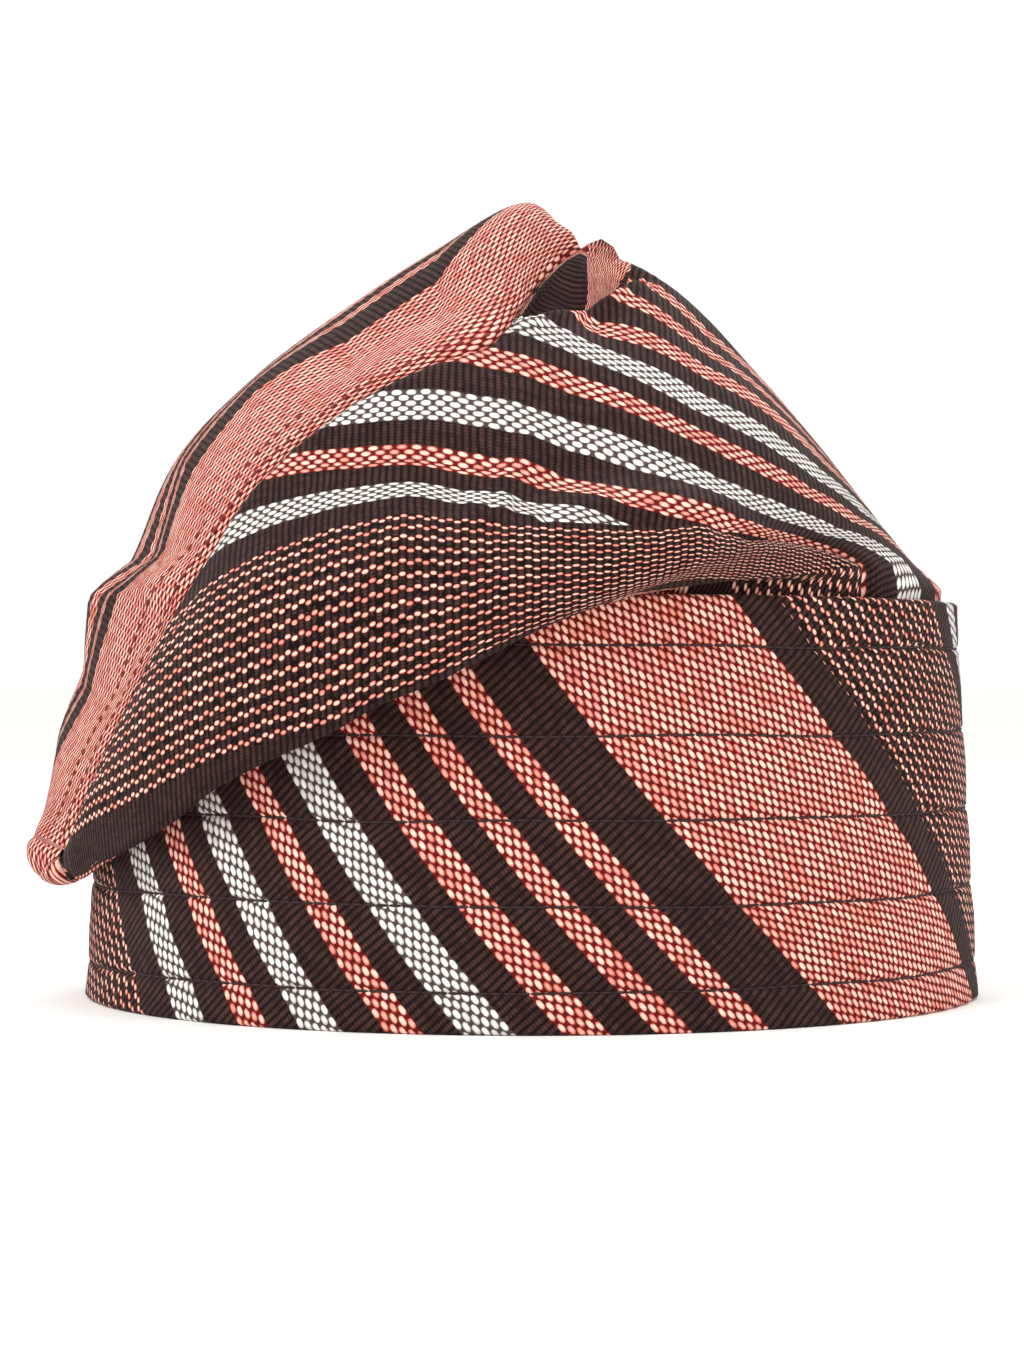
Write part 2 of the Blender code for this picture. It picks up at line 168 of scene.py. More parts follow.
SECTIONS = [
    Section((41, -82, 87.5), None, (82, -6, 95), None, (40, 83, 87), 1, 20, 12, 16),
    Section((32, -92, 87), None, (64, -10, 117), None, (27, 92, 86), 4, 24, 12, 20),
    Section((26, -97, 85), None, (47, -12, 137), None, (12, 97, 84), 7, 28, 12, 22),
    Section((12, -99, 81), None, (29, -14, 155), None, (-2, 99, 82), 9, 32, 11, 23),
    Section((-1, -100, 75), None, (11, -15, 163.2), None, (-14, 99, 79), 10, 34, 11, 22),
    Section((-16, -101, 66), (-7, -62, 137), (-1, -12, 172),
            (-2, 26, 158), (-27, 99, 75), 9, 40, 9, 16),
    Section((-27, -99, 62), (-21, -68, 132), (-20, -10, 163),
            (-20, 34, 147), (-40, 95, 70), 8, 44, 8, 14),
    Section((-38, -95, 56), (-37, -72, 124), (-41, -8, 150),
            (-40, 36, 134), (-52, 88, 65), 8, 48, 7, 12),
    Section((-50, -88, 51), (-53, -72, 111), (-61, -8, 135),
            (-61, 36, 118), (-64, 79, 58), 8, 50, 6, 10),
    Section((-62, -79, 45), (-64, -68, 95), (-77, -8, 119),
            (-81, 32, 100), (-75, 68, 51), 8, 50, 4, 8),
    Section((-71, -70, 39), (-73, -62, 77), (-86, -10, 99),
            (-91, 28, 84), (-84, 55, 44), 8, 44, 2, 6),
    Section((-80, -60, 34), (-79.5, -55, 63), (-94.5, -12, 82),
            (-95.5, 20, 67), (-91, 41, 38), 7, 36, 1, 4),
    Section((-88, -48, 30), (-87.2, -47, 49), (-103, -14, 60),
            (-103, 10, 53), (-97, 26, 33), 5, 26, 1, 4),
    Section((-92.5, -37, 27), (-93.2, -39, 39), (-106, -16, 42.5),
            (-104, 3, 41), (-98.5, 13, 29), 4, 16, 1, 4),
    Section((-96, -27, 25.5), (-97, -31, 32), (-109, -17, 35),
            (-106, -3, 34), (-99.5, 4, 26.5), 3, 12, 0, 3),
]
TIP = (-106.0, -15.0, 25.8)
TIP_ROWS = 8
PANEL_ROW = (BAND_LOOPS + [s.seam is None for s in SECTIONS].count(True) - 1) * ROWS_BETWEEN
FIRST_PANEL_COLUMN = FRONT_COLUMNS
LAST_PANEL_COLUMN = FRONT_COLUMNS + PANEL_COLUMNS
BACK_FOLD_COLUMN = FRONT_COLUMNS + PANEL_COLUMNS + BACK_COLUMNS

# Soft folds: a centre, the direction that the fold runs in, its half length and half width, and
# how far it sinks. One that sinks less than nothing raises the cloth
Fold = namedtuple("Fold", "centre along half_length half_width sink")

FOLDS = [
    Fold((14, -44, 148), (0.35, -0.5, -0.8), 18, 9, 3.0),
    Fold((-22, -48, 146), (-0.75, -0.2, -0.6), 34, 11, 3),
    Fold((26, -88, 95), (0.8, -0.1, -0.3), 30, 9, 1),
    Fold((15.5, -15, 162), (0.0, 1.0, 0.2), 12, 5, 1.9),
    Fold((9, -15, 165), (0.0, 1.0, 0.2), 10, 3, -2.0),
    Fold((13, -40, 150), (0.25, -0.82, -0.52), 13, 3.6, 3.4),
]

# Waves of the soft cloth: their height, size and seed, and how much longer they are along the cloth
CLOTH_WAVES = ((0.55, 19.0, 3.1), (0.15, 7.0, 9.7))
WAVE_SHARE_ALONG = 0.45

# The panel's seam: the depth and half width of its dip, and the height, half width and size of the
# puckers beside it
SEAM_DIP = 0.8
SEAM_HALF_WIDTH = 1.5
PUCKER = 0.3
PUCKER_HALF_WIDTH = 7.0
PUCKER_SIZE = 3.5

# Where the stripes lie at places along the sections (at), as lengths of cloth up the front from
# the fold: U at the fold, where the dotted stripe ends, how much of U is tucked away there, a
# place in between and its U, where the middle of the second white stripe lies, how fast U grows
# after it, and U on the cloth behind the front's rim
Cut = namedtuple("Cut", "at at_fold dotted tucked between u_between white growth behind")

CUTS = [
    Cut(0.0, 0.0, 36, 25, 46, 65.0, 54, 0.50, 96),
    Cut(0.5, 3.0, 25, 24, 30, 62.5, 35, 0.79, 108),
    Cut(1.0, 6.0, 14, 20, 20, 59.5, 30, 0.90, 118),
    Cut(1.5, 8.0, 12, 22, 17, 60.5, 28, 0.88, 121),
    Cut(2.0, 9.0, 13, 22, 18, 60.5, 29, 0.86, 124),
    Cut(2.5, 9.0, 13, 19, 18, 58.0, 36, 0.95, 126),
    Cut(3.0, 7.5, 15, 15, 22, 58.0, 42, 0.88, 129),
    Cut(3.5, 4.0, 18, 11, 31, 58.0, 49, 0.85, 152),
    Cut(4.0, 1.0, 22, 10, 39.5, 58.0, 54, 0.78, 188),
    Cut(4.25, 0.0, 25, 6.2, 41.5, 58.0, 56, 0.755, 188),
    Cut(4.5, -1.0, 28, 4.8, 42.5, 58.0, 58, 0.73, 186),
    Cut(4.75, -1.5, 30.5, 7.2, 44.6, 58.0, 60.5, 0.71, 187),
    Cut(5.0, -2.0, 33, 4.5, 48.5, 58.0, 63, 0.69, 188),
    Cut(5.5, -1.5, 36.5, 4.5, 51.5, 58.0, 66, 0.66, 189),
    Cut(6.0, -1.0, 39.5, 4.5, 54.5, 58.0, 68, 0.64, 189),
    Cut(7.0, -1.7, 43.7, 4.5, 60.5, 58.0, 73, 0.60, 190),
    Cut(8.0, -3.7, 43.7, 4.0, 66, 58.0, 79, 0.60, 190),
    Cut(9.0, -6.0, 44, 3.0, 70, 58.0, 100, 0.60, 190),
    Cut(10.0, -8.0, 45, 2.6, 70, 58.0, 100, 0.60, 190),
    Cut(12.0, -9.5, 45, 2.6, 70, 58.0, 100, 0.60, 190),
    Cut(14.0, -11.0, 45, 2.6, 70, 58.0, 100, 0.60, 190),
]
DOTTED_END = 36.0
WHITE_MIDDLE = 68.7

# The tuck, where the roll covers some of the cloth: its width, how deep it gets as more of U is
# tucked away, and the swell of the roll before it. It sinks mostly level
TUCK_WIDTH = 2.6
TUCK_START = 7.0
TUCK_RANGE = 8.0
TUCK_DEPTH = 2.2
TUCK_HALF_WIDTH = 2.2
TUCK_LEVEL = (1.0, 1.0, 0.2)
ROLL_SWELL = 0.8
ROLL_SWELL_BACK = 6.0
ROLL_SWELL_HALF_WIDTH = 4.5

# The rim under the peak: lengths of cloth up the front to it, by section, with its crest and the dip
# behind it
RIM_SECTIONS = (3.0, 3.5, 4.0, 4.5, 5.0)
RIM_LENGTHS = (122.0, 103.0, 97.0, 92.0, 96.0)
RIM_EASE = 0.5
RIM_CREST = 1.2
RIM_CREST_BEFORE = 1.0
RIM_CREST_HALF_WIDTH = 3.0
RIM_DIP = 3.6
RIM_FALL = 5.0

# Columns of the front's grid that follow the tuck and the rim, and how they spread where there is
# little of either
TUCK_COLUMN = 14
RIM_COLUMN = 50
MOST_ROLL = 0.8
RIM_SHARE = 0.85
PAST_RIM = 2.5
RIDGE_MARGIN = 3.0

# The coral patch behind the rim: the U of its middle and of its edge, how it narrows towards the
# rim, the range that U keeps to, and how far it reaches down round the peak
PATCH_MIDDLE = 164.0
PATCH_EDGE = 176.0
PATCH_NARROWING = 1.2
PATCH_RANGE = (130.0, 188.0)
PATCH_TOP = 4.0
PATCH_TOP_SECTION = 4.0
PATCH_TOP_WIDTH = 0.25
PATCH_EASE = 2.0

# The back: how far down its stripes leave the ridge's, and the section from which they stay put
BACK_BLEND = 35.0
BACK_SECTION = 3.0

# V runs level round the front, over the oval's right end, past the folds and beyond the tip, and
# along the columns before one section
RIGHT_AZIMUTH = 1.1
RIGHT_STEPS = 12
PAST_TIP = 6.0
COLUMN_SECTION = 2.5

# The panel's stripes on its sections: the width of the wide coral stripe from the front seam, and
# how fast U goes on after it, at the panel's turned edge
PANEL_CUTS = (
    (5, 75, 1.0), (6, 38, 1.0), (7, 33, 1.0), (8, 44, 1.0), (9, 40, 1.2), (10, 24, 3.0),
    (11, 25, 2.6), (12, 28, 1.4), (13, 36, 1.0), (14, 50, 1.0))
CORAL_EDGE = 180.3
CORAL_WIDTH = 40.0
EDGE_STRIPES = 22.0
PAST_EDGE = 0.85

# U at one length over the panel, by section: far from the front seam the stripes follow it
FAR_LENGTH = 60.0
FAR_CUTS = (
    (5, 118), (6, 117), (8, 112), (9, 106), (10, 99), (11, 98), (12, 104), (13, 114), (14, 124))
FAR_START = 6.0
FAR_BLEND = 20.0

# The panel's directions along V and outward, and how fast U falls over the tip, across and outward
PANEL_WAY = (-0.626, -0.029, -0.779)
PANEL_OUT = (-0.779, 0.0, 0.626)
TIP_INSET = 5.0
TIP_FALL_ACROSS = 0.8
TIP_FALL_OUT = 0.6

# The woven stripes, in order of U: what each is made of and its width. The widths repeat
STRIPES = (
    ("dotted", 36.0), ("brown", 7.0), ("white", 6.2), ("brown", 6.0), ("coral", 5.6),
    ("brown", 5.0), ("white", 5.8), ("brown", 5.4), ("coral", 5.3), ("brown", 5.6),
    ("white", 6.6), ("brown", 5.8), ("coral", 6.2), ("brown", 5.8), ("coral", 5.8),
    ("brown", 6.0), ("coral", 4.7), ("brown", 11.5), ("coral", 40.0), ("brown", 9.2),
)
REPEAT = sum(width for _, width in STRIPES)
STRIPE_MASKS = {
    "brown": (0.0, 0.0, 0.0, 1.0),
    "coral": (1.0, 0.0, 0.0, 1.0),
    "white": (0.0, 1.0, 0.0, 1.0),
    "dotted": (0.0, 0.0, 1.0, 1.0),
}
WARP_PITCH = 1.0
WEFT_PITCH = 1.5
STRAND_PITCH = 0.62
DOT_ROW_PITCH = 2.6
DOT_PITCH = 1.5
DOT_ZIGZAG = 0.22
BEAD_HALF_SIZE = (0.54, 0.37)
DOT_HALF_SIZE = (0.18, 0.48)
WEAVE_RELIEF = 0.4

# The weave's unevenness. Sway of the threads across and along: fineness and reach. Worn places in
# the dotted cloth: fineness, threshold and depth. Fuzz: fineness and height. Faded places: fineness,
# darkest shade and its range
SWAY_ACROSS = (0.09, 0.5)
SWAY_ALONG = (0.13, 0.8)
WORN_HOLES = (0.55, 0.56, 0.75)
FUZZ = (3.2, 0.25)
FADED = (0.035, 0.86, 0.28)

# Thread colours: each TOP is the colour of one kind of thread where it is lit at its top, and the
# colours after it are mixed in by the weave's painted shade
BROWN_TOP = (0.085, 0.034, 0.030, 1.0)
# Painted shade: the near black that the brown threads take in the gaps between them
BROWN_GAP_SHADE = (0.004, 0.0015, 0.0015, 1.0)
# A painted highlight: the pale colour painted on the middle of each lit coral bead
CORAL_PAINTED_HIGHLIGHT = (0.98, 0.66, 0.54, 1.0)
CORAL_TOP = (0.60, 0.105, 0.072, 1.0)
# Painted shade: the dark red that the coral threads take in the gaps between them
CORAL_GAP_SHADE = (0.10, 0.007, 0.006, 1.0)
WHITE_TOP = (0.86, 0.84, 0.80, 1.0)
# The brown weft that shows between the white threads, darkened with painted shade
WHITE_GAP_WEFT_AND_SHADE = (0.07, 0.045, 0.04, 1.0)
THREAD_BROWN = (0.030, 0.008, 0.008, 1.0)
THREAD_RED = (0.26, 0.025, 0.020, 1.0)
FLOOR_WHITE = (0.96, 0.96, 0.94, 1.0)


def band_half_axes(height):
    """Half width and half depth of the band's outer face at a height."""
    inward = BAND_TAPER * height / BAND_HEIGHT
    return BAND_HALF_WIDTH - inward, BAND_HALF_DEPTH - inward


def oval_point(azimuth, inset, height):
    """A point beside the band's outer face, inset from it, at an azimuth of the oval."""
    half_width, half_depth = band_half_axes(min(height, BAND_HEIGHT))
    return np.array((
        (half_width - inset) * np.cos(azimuth),
        (half_depth - inset) * np.sin(azimuth),
        height,
    ))


def oval_azimuth(point):
    """The azimuth of a point, measured on the oval, from -pi to pi."""
    half_width, half_depth = band_half_axes(BAND_HEIGHT)
    return np.arctan2(point[1] / half_depth, point[0] / half_width)


def oval_reach(point):
    """How far a point stands out from the band's outer face."""
    azimuth = oval_azimuth(point)
    face = oval_point(azimuth, 0.0, point[2])
    return np.hypot(point[0], point[1]) - np.hypot(face[0], face[1])


def smooth_step(value):
    """From 0 to 1 with a level start and end."""
    value = np.clip(value, 0.0, 1.0)
    return value * value * (3.0 - 2.0 * value)


def hump(distance, half_width):
    """A smooth hump, 1 high, at a distance from its middle."""
    return np.exp(-(distance / half_width) ** 2)


def bulged_line(start, end, fraction, outward, bulge):
    """A point on a line from start to end that is pushed out to the side."""
    start, end = np.array(start, float), np.array(end, float)
    chord = end - start
    chord /= np.linalg.norm(chord)
    side = np.array(outward, float)
    side -= chord * side.dot(chord)
    side /= np.linalg.norm(side)
    return start + (end - start) * fraction + side * bulge


def front_point(section, fraction):
    """From the front fold, round the roll, and up the front to the seam."""
    top = section.seam or section.ridge
    length = np.linalg.norm(np.subtract(top, section.fold))
    bulge = section.belly * np.sin(np.pi * fraction)
    on_roll = np.clip(fraction * length / section.roll_height, 0.0, 1.0)
    bulge += section.roll * np.sin(np.pi * on_roll)
    outward = (SIDEWAYS * section.fold[0], section.fold[1], 0.0)
    return bulged_line(section.fold, top, fraction, outward, bulge)


def panel_point(section, fraction):
    """Over the end panel, from its front seam across the ridge to its back seam."""
    seam, back_seam = section.seam or section.ridge, section.back_seam or section.ridge
    seam, ridge, back_seam = (np.array(p, float) for p in (seam, section.ridge, back_seam))
    middle = 2.0 * ridge - 0.5 * (seam + back_seam)
    near, far = (1.0 - fraction) ** 2, fraction ** 2
    return near * seam + 2.0 * fraction * (1.0 - fraction) * middle + far * back_seam


def back_point(section, fraction):
    """From the back seam down to the back fold."""
    top = section.back_seam or section.ridge
    outward = (SIDEWAYS * section.back_fold[0], section.back_fold[1], 0.0)
    length = np.linalg.norm(np.subtract(top, section.back_fold))
    bulge = section.back_belly * np.sin(np.pi * fraction)
    on_roll = np.clip((1.0 - fraction) * length / section.roll_height, 0.0, 1.0)
    bulge += BACK_ROLL * section.roll * np.sin(np.pi * on_roll)
    return bulged_line(top, section.back_fold, fraction, outward, bulge)


def pouch_edge():
    """The pouch's edge by azimuth: the section whose fold lies there, its height and its reach."""
    folds = [(k, s.back_fold) for k, s in enumerate(SECTIONS)]
    folds += [(k, s.fold) for k, s in enumerate(SECTIONS)]
    edge = [(oval_azimuth(point) % (2.0 * np.pi), k, point[2], oval_reach(point)) for k, point in folds]
    return np.array(sorted(edge)).T


POUCH_EDGE = pouch_edge()


def under_point(section, fraction):
    """Under the pouch, close to the band, from the back fold round to the front fold."""
    start = oval_azimuth(section.back_fold) % (2.0 * np.pi)
    end = oval_azimuth(section.fold) % (2.0 * np.pi)
    azimuth = start + (end - start) * fraction
    azimuths, *edge = POUCH_EDGE
    edge_section, edge_height, edge_reach = (np.interp(azimuth, azimuths, row) for row in edge)
    down = min((SECTIONS.index(section) + 1.0) / (edge_section + 1.0), 1.0)
    height = BAND_HEIGHT + (edge_height - BAND_HEIGHT) * down
    reach = EDGE_CLEARANCE + (edge_reach - EDGE_CLEARANCE) * down ** UNDER_CURVE
    return oval_point(azimuth, -reach, height)


def section_loop(section):
    """All the points round one section, in order."""
    points = [front_point(section, i / FRONT_COLUMNS) for i in range(FRONT_COLUMNS)]
    points += [panel_point(section, i / PANEL_COLUMNS) for i in range(PANEL_COLUMNS)]
    points += [back_point(section, i / BACK_COLUMNS) for i in range(BACK_COLUMNS)]
    points += [under_point(section, i / UNDER_COLUMNS) for i in range(UNDER_COLUMNS)]
    return np.array(points)


def band_loop(height, over_edge, edge_height):
    """A loop along the top of the band: over its edge where the pouch hangs, plain elsewhere."""
    first = SECTIONS[0]
    ridge = oval_azimuth(first.ridge)
    fold, back_fold = oval_azimuth(first.fold), oval_azimuth(first.back_fold)
    turns = (
        (fold, ridge, FRONT_COLUMNS),
        (ridge, ridge, PANEL_COLUMNS),
        (ridge, back_fold, BACK_COLUMNS),
        (back_fold, fold + 2.0 * np.pi, UNDER_COLUMNS),
    )
    azimuths = [a + (b - a) * i / count for a, b, count in turns for i in range(count)]
    inside = BAND_WALL + BAND_GAP
    points = []
    for azimuth in azimuths:
        past_hinge = min(azimuth - back_fold, fold + 2.0 * np.pi - azimuth)
        pouch = smooth_step(past_hinge / HINGE_ARC)
        inset = inside + (-EDGE_CLEARANCE - inside) * over_edge * pouch
        points.append(oval_point(azimuth, inset, height + (edge_height - height) * pouch))
    return np.array(points)


def clear_of_band(loop, past_hinge):
    """Move the points that would touch the outside of the band out to the clearance."""
    for i, point in enumerate(loop):
        from_fold = np.clip(min(i, BACK_FOLD_COLUMN - i), 0, POUCH_EASE) / POUCH_EASE
        over_edge = float(point[2] < BAND_HEIGHT + EDGE_HEIGHT)
        if from_fold > 0.0:
            above = np.clip((BAND_HEIGHT + CLEAR_HEIGHT - point[2]) / CLEAR_EASE, 0.0, 1.0)
            over_edge += (above - over_edge) * past_hinge
        if over_edge > 0.0:
            clearance = EDGE_CLEARANCE + POUCH_ROOM * from_fold
            missing = over_edge * max(clearance - oval_reach(point), 0.0)
            outward = np.array((point[0], point[1], 0.0)) / np.hypot(point[0], point[1])
            loop[i] = point + missing * outward
    return loop


def round_creases(loop, has_panel):
    """Ease the sharp turns of a closed loop, whose panel columns are one point before the panel."""
    ridge = slice(FRONT_COLUMNS + 1, FRONT_COLUMNS + PANEL_COLUMNS + 1)
    share = np.full(len(loop), 0.5)
    spacing = np.linalg.norm(loop[FRONT_COLUMNS] - loop[0]) / FRONT_COLUMNS
    passes = int(np.clip(2.0 * (CREASE_RADIUS / spacing) ** 2, 2, MOST_ROUNDING))
    if passes < MOST_ROUNDING:
        share[BACK_FOLD_COLUMN + 2 * FINE:-FINE] = 0.0
    if not has_panel:
        loop, share = np.delete(loop, ridge, axis=0), np.delete(share, ridge)
    for _ in range(passes):
        before, after = np.roll(loop, 1, axis=0), np.roll(loop, -1, axis=0)
        step = (0.5 * (before + after) - loop) * share[:, None]
        way = after - before
        way /= np.linalg.norm(way, axis=1, keepdims=True) + 1e-9
        loop = loop + step - way * (step * way).sum(axis=1, keepdims=True)
    if not has_panel:
        repeated = np.repeat(loop[FRONT_COLUMNS:FRONT_COLUMNS + 1], PANEL_COLUMNS, axis=0)
        loop = np.insert(loop, FRONT_COLUMNS + 1, repeated, axis=0)
    return loop


def spread_rows(rows):
    """Add rows between the given ones on smooth curves through them."""
    spread = []
    for i in range(len(rows) - 1):
        before, here = rows[max(i - 1, 0)], rows[i]
        there, after = rows[i + 1], rows[min(i + 2, len(rows) - 1)]
        step = np.linalg.norm(there - here, axis=1, keepdims=True) + 1e-6
        step_before = np.linalg.norm(here - before, axis=1, keepdims=True) + 1e-6
        step_after = np.linalg.norm(after - there, axis=1, keepdims=True) + 1e-6
        slope_here = step * (there - before) / (step + step_before)
        slope_there = step * (after - here) / (step + step_after)
        for k in range(ROWS_BETWEEN):
            t = k / ROWS_BETWEEN
            spread.append(
                here * (2 * t ** 3 - 3 * t ** 2 + 1) + there * (3 * t ** 2 - 2 * t ** 3)
                + slope_here * (t ** 3 - 2 * t ** 2 + t) + slope_there * (t ** 3 - t ** 2))
    spread.append(rows[-1])
    return spread


def sink_folds(points, normals):
    """Press the soft folds into the cloth."""
    moved = points.copy()
    for fold in FOLDS:
        along = np.array(fold.along) / np.linalg.norm(fold.along)
        offset = points - np.array(fold.centre, float)
        run = offset @ along
        across = np.linalg.norm(offset - run[..., None] * along, axis=-1)
        depth = fold.sink * np.exp(-(run / fold.half_length) ** 2 - (across / fold.half_width) ** 2)
        moved -= normals * depth[..., None]
    return moved


def shared_place(row, column, rows):
    """The row and column that stand for a place of the grid where several meet in one point."""
    if row == rows - 1:
        return row, 0
    if row <= PANEL_ROW and FIRST_PANEL_COLUMN <= column <= LAST_PANEL_COLUMN:
        return row, FIRST_PANEL_COLUMN
    return row, column


def grid_normals(grid):
    """Unit normals of a grid whose columns close on themselves, pointing out of the tube."""
    beside = np.roll(grid, -1, axis=1)
    cell = np.cross(beside[:-1] - grid[1:], beside[1:] - grid[:-1])
    normals = np.zeros_like(grid)
    for rows in (slice(0, -1), slice(1, None)):
        normals[rows] += cell
        normals[rows] += np.roll(cell, 1, axis=1)
    ridge = slice(FIRST_PANEL_COLUMN, LAST_PANEL_COLUMN + 1)
    normals[:PANEL_ROW + 1, ridge] = normals[:PANEL_ROW + 1, ridge].sum(axis=1, keepdims=True)
    normals[-1] = normals[-1].sum(axis=0)
    return normals / np.maximum(np.linalg.norm(normals, axis=-1, keepdims=True), 1e-9)


def crown_rows():
    """The crown's outer surface as rows and columns, before its small folds."""
    rows = [
        band_loop(BAND_HEIGHT + plain, over_edge, BAND_HEIGHT + beyond)
        for plain, over_edge, beyond in HEM_LOOPS]
    rows += [round_creases(section_loop(section), section.seam is not None) for section in SECTIONS]
    rows = spread_rows(rows)
    pouch_start = (BAND_LOOPS - 1) * ROWS_BETWEEN + 1
    for i in range(pouch_start, len(rows)):
        past_hinge = smooth_step((i - PANEL_ROW + ROWS_BETWEEN) / (2.0 * ROWS_BETWEEN))
        rows[i] = clear_of_band(rows[i], past_hinge)
    last = rows[-1]
    middle = last.mean(axis=0)
    for i in range(1, TIP_ROWS + 1):
        angle = 0.5 * np.pi * i / TIP_ROWS
        to_tip = (np.array(TIP) - middle) * np.sin(angle)
        rows.append(middle + (last - middle) * np.cos(angle) + to_tip)
    return np.array(rows)


def running_length(points):
    """Distances along a line of points, from its first one."""
    steps = np.linalg.norm(np.diff(points, axis=0), axis=-1)
    return np.concatenate((np.zeros((1,) + steps.shape[1:]), np.cumsum(steps, axis=0)))


def along_line(distances, run, points):
    """Points, or ways out, at distances along a line with the given running length."""
    return np.array([np.interp(distances, run, points[:, k]) for k in range(3)]).T


def at_sections(count):
    """The section number of each row of the grid, with fractions between the sections."""
    return np.arange(count) / ROWS_BETWEEN - BAND_LOOPS


def cuts_of(count):
    """The cuts' table spread over the rows of the grid, with a column for each of its names."""
    columns = [np.array(column, float) for column in zip(*CUTS)]
    return Cut(*(np.interp(at_sections(count), columns[0], column)[:, None] for column in columns))


def at_column(values, column):
    """The values on one column of the grid, as a column beside it."""
    return values[:, column:column + 1]


def rim_lengths(count):
    """How far up the front the rim lies on each row, and how much of a rim there is."""
    sections = at_sections(count)
    lengths = np.interp(sections, RIM_SECTIONS, RIM_LENGTHS)
    from_end = np.minimum(sections - RIM_SECTIONS[0], RIM_SECTIONS[-1] - sections)
    return lengths[:, None], smooth_step(from_end / RIM_EASE)[:, None]


def closed_rows(grid):
    """The grid with its first column repeated at the end of each row."""
    return np.concatenate((grid, grid[:, :1]), axis=1)


def front_lengths(grid):
    """Lengths along the closed rows, from the front fold."""
    return np.array([running_length(row) for row in closed_rows(grid)])


def line_up_columns(grid):
    """Slide the front's columns along their rows, so that one follows the tuck and one the rim."""
    rows = len(grid)
    length = front_lengths(grid)
    tuck = cuts_of(rows).dotted + 0.5 * TUCK_WIDTH
    rim, amount = rim_lengths(rows)
    columns = np.arange(FRONT_COLUMNS + 1)
    moved = grid.copy()
    for r in range(rows - 1 - TIP_ROWS):
        run = length[r, :FRONT_COLUMNS + 1]
        on_tuck = min(tuck[r, 0], MOST_ROLL * run[-1])
        on_rim = on_tuck + RIM_SHARE * (run[-1] - on_tuck)
        past_rim = min(rim[r, 0] + PAST_RIM, run[-1] - RIDGE_MARGIN)
        on_rim += (past_rim - on_rim) * min(2.0 * amount[r, 0], 1.0)
        wanted = np.interp(
            columns, (0, TUCK_COLUMN, RIM_COLUMN, FRONT_COLUMNS), (0.0, on_tuck, on_rim, run[-1]))
        moved[r, :FRONT_COLUMNS] = along_line(wanted, run, grid[r, :FRONT_COLUMNS + 1])[:-1]
    return moved


def level_length(x):
    """The level distance round the front from the band's right end to a place at x, to the left."""
    half_width, half_depth = band_half_axes(BAND_HEIGHT)
    right = np.linspace(0.0, RIGHT_AZIMUTH, RIGHT_STEPS)
    path = [(half_width * np.cos(a), -half_depth * np.sin(a)) for a in right]
    path += [section.fold[:2] for section in SECTIONS]
    path += [(TIP[0] - PAST_TIP, TIP[1])]
    path = np.array(path)
    return np.interp(-x, -path[:, 0], running_length(path))


def body_v(closed):
    """V of the body's cloth: level round the front, and along the columns at the band's right."""
    along = running_length(closed)
    first_level = int((BAND_LOOPS + COLUMN_SECTION) * ROWS_BETWEEN)
    v = level_length(closed[..., 0])
    v[:first_level] = v[first_level] + along[:first_level] - along[first_level]
    return v


def roll_and_front_u(length):
    """U on the dotted roll below the tuck, and on the front above it."""
    cuts = cuts_of(len(length))
    roll = cuts.at_fold + (DOTTED_END - cuts.at_fold) * length / cuts.dotted
    roll = np.where(length < cuts.dotted, roll, DOTTED_END + length - cuts.dotted)
    after_tuck = cuts.dotted + TUCK_WIDTH
    lower = DOTTED_END + cuts.tucked - cuts.u_between
    lower = cuts.u_between + lower * (cuts.between - length) / (cuts.between - after_tuck)
    middle = (cuts.u_between - WHITE_MIDDLE) * (cuts.white - length) / (cuts.white - cuts.between)
    upper = WHITE_MIDDLE + cuts.growth * (length - cuts.white)
    front = np.where(length < cuts.between, lower, WHITE_MIDDLE + middle)
    return roll, np.where(length > cuts.white, upper, front)


def patch_u(length):
    """U behind the rim: a coral patch that narrows towards the rim, beside brown cloth."""
    rows = len(length)
    rim, _ = rim_lengths(rows)
    ridge = at_column(length, FIRST_PANEL_COLUMN)
    from_rim = np.clip((length - rim) / np.maximum(ridge - rim, 1.0), 0.0, 1.0)
    narrowing = 1.0 + PATCH_NARROWING * (1.0 - from_rim)
    u = np.clip(PATCH_MIDDLE + (cuts_of(rows).behind - PATCH_MIDDLE) * narrowing, *PATCH_RANGE)
    top = PATCH_TOP * hump(at_sections(rows)[:, None] - PATCH_TOP_SECTION, PATCH_TOP_WIDTH)
    below_top = smooth_step((ridge - length - top) / PATCH_EASE)
    return np.minimum(u, PATCH_EDGE + (u - PATCH_EDGE) * below_top)


def back_and_under_u(length, front_u):
    """U from the ridge down the back to the back fold, and under the pouch."""
    rows = len(length)
    cuts = cuts_of(rows)
    back_start, back_end = at_column(length, LAST_PANEL_COLUMN), at_column(length, BACK_FOLD_COLUMN)
    has_rim = rim_lengths(rows)[1] > 0.5
    patch_at_ridge = np.minimum(cuts.behind, PATCH_EDGE)
    ridge_u = np.where(has_rim, patch_at_ridge, at_column(front_u, FIRST_PANEL_COLUMN))
    held = int((BAND_LOOPS + BACK_SECTION) * ROWS_BETWEEN)
    fold_u = ridge_u + back_end - back_start
    fold_u[held:] = fold_u[held]
    plain = fold_u - (back_end - length)
    near_ridge = 1.0 - smooth_step((length - back_start) / BACK_BLEND)
    near_ridge = near_ridge * (np.arange(rows)[:, None] <= PANEL_ROW)
    back = plain + (ridge_u - (fold_u - back_end + back_start)) * near_ridge
    return back, cuts.at_fold - (length[:, -1:] - length)


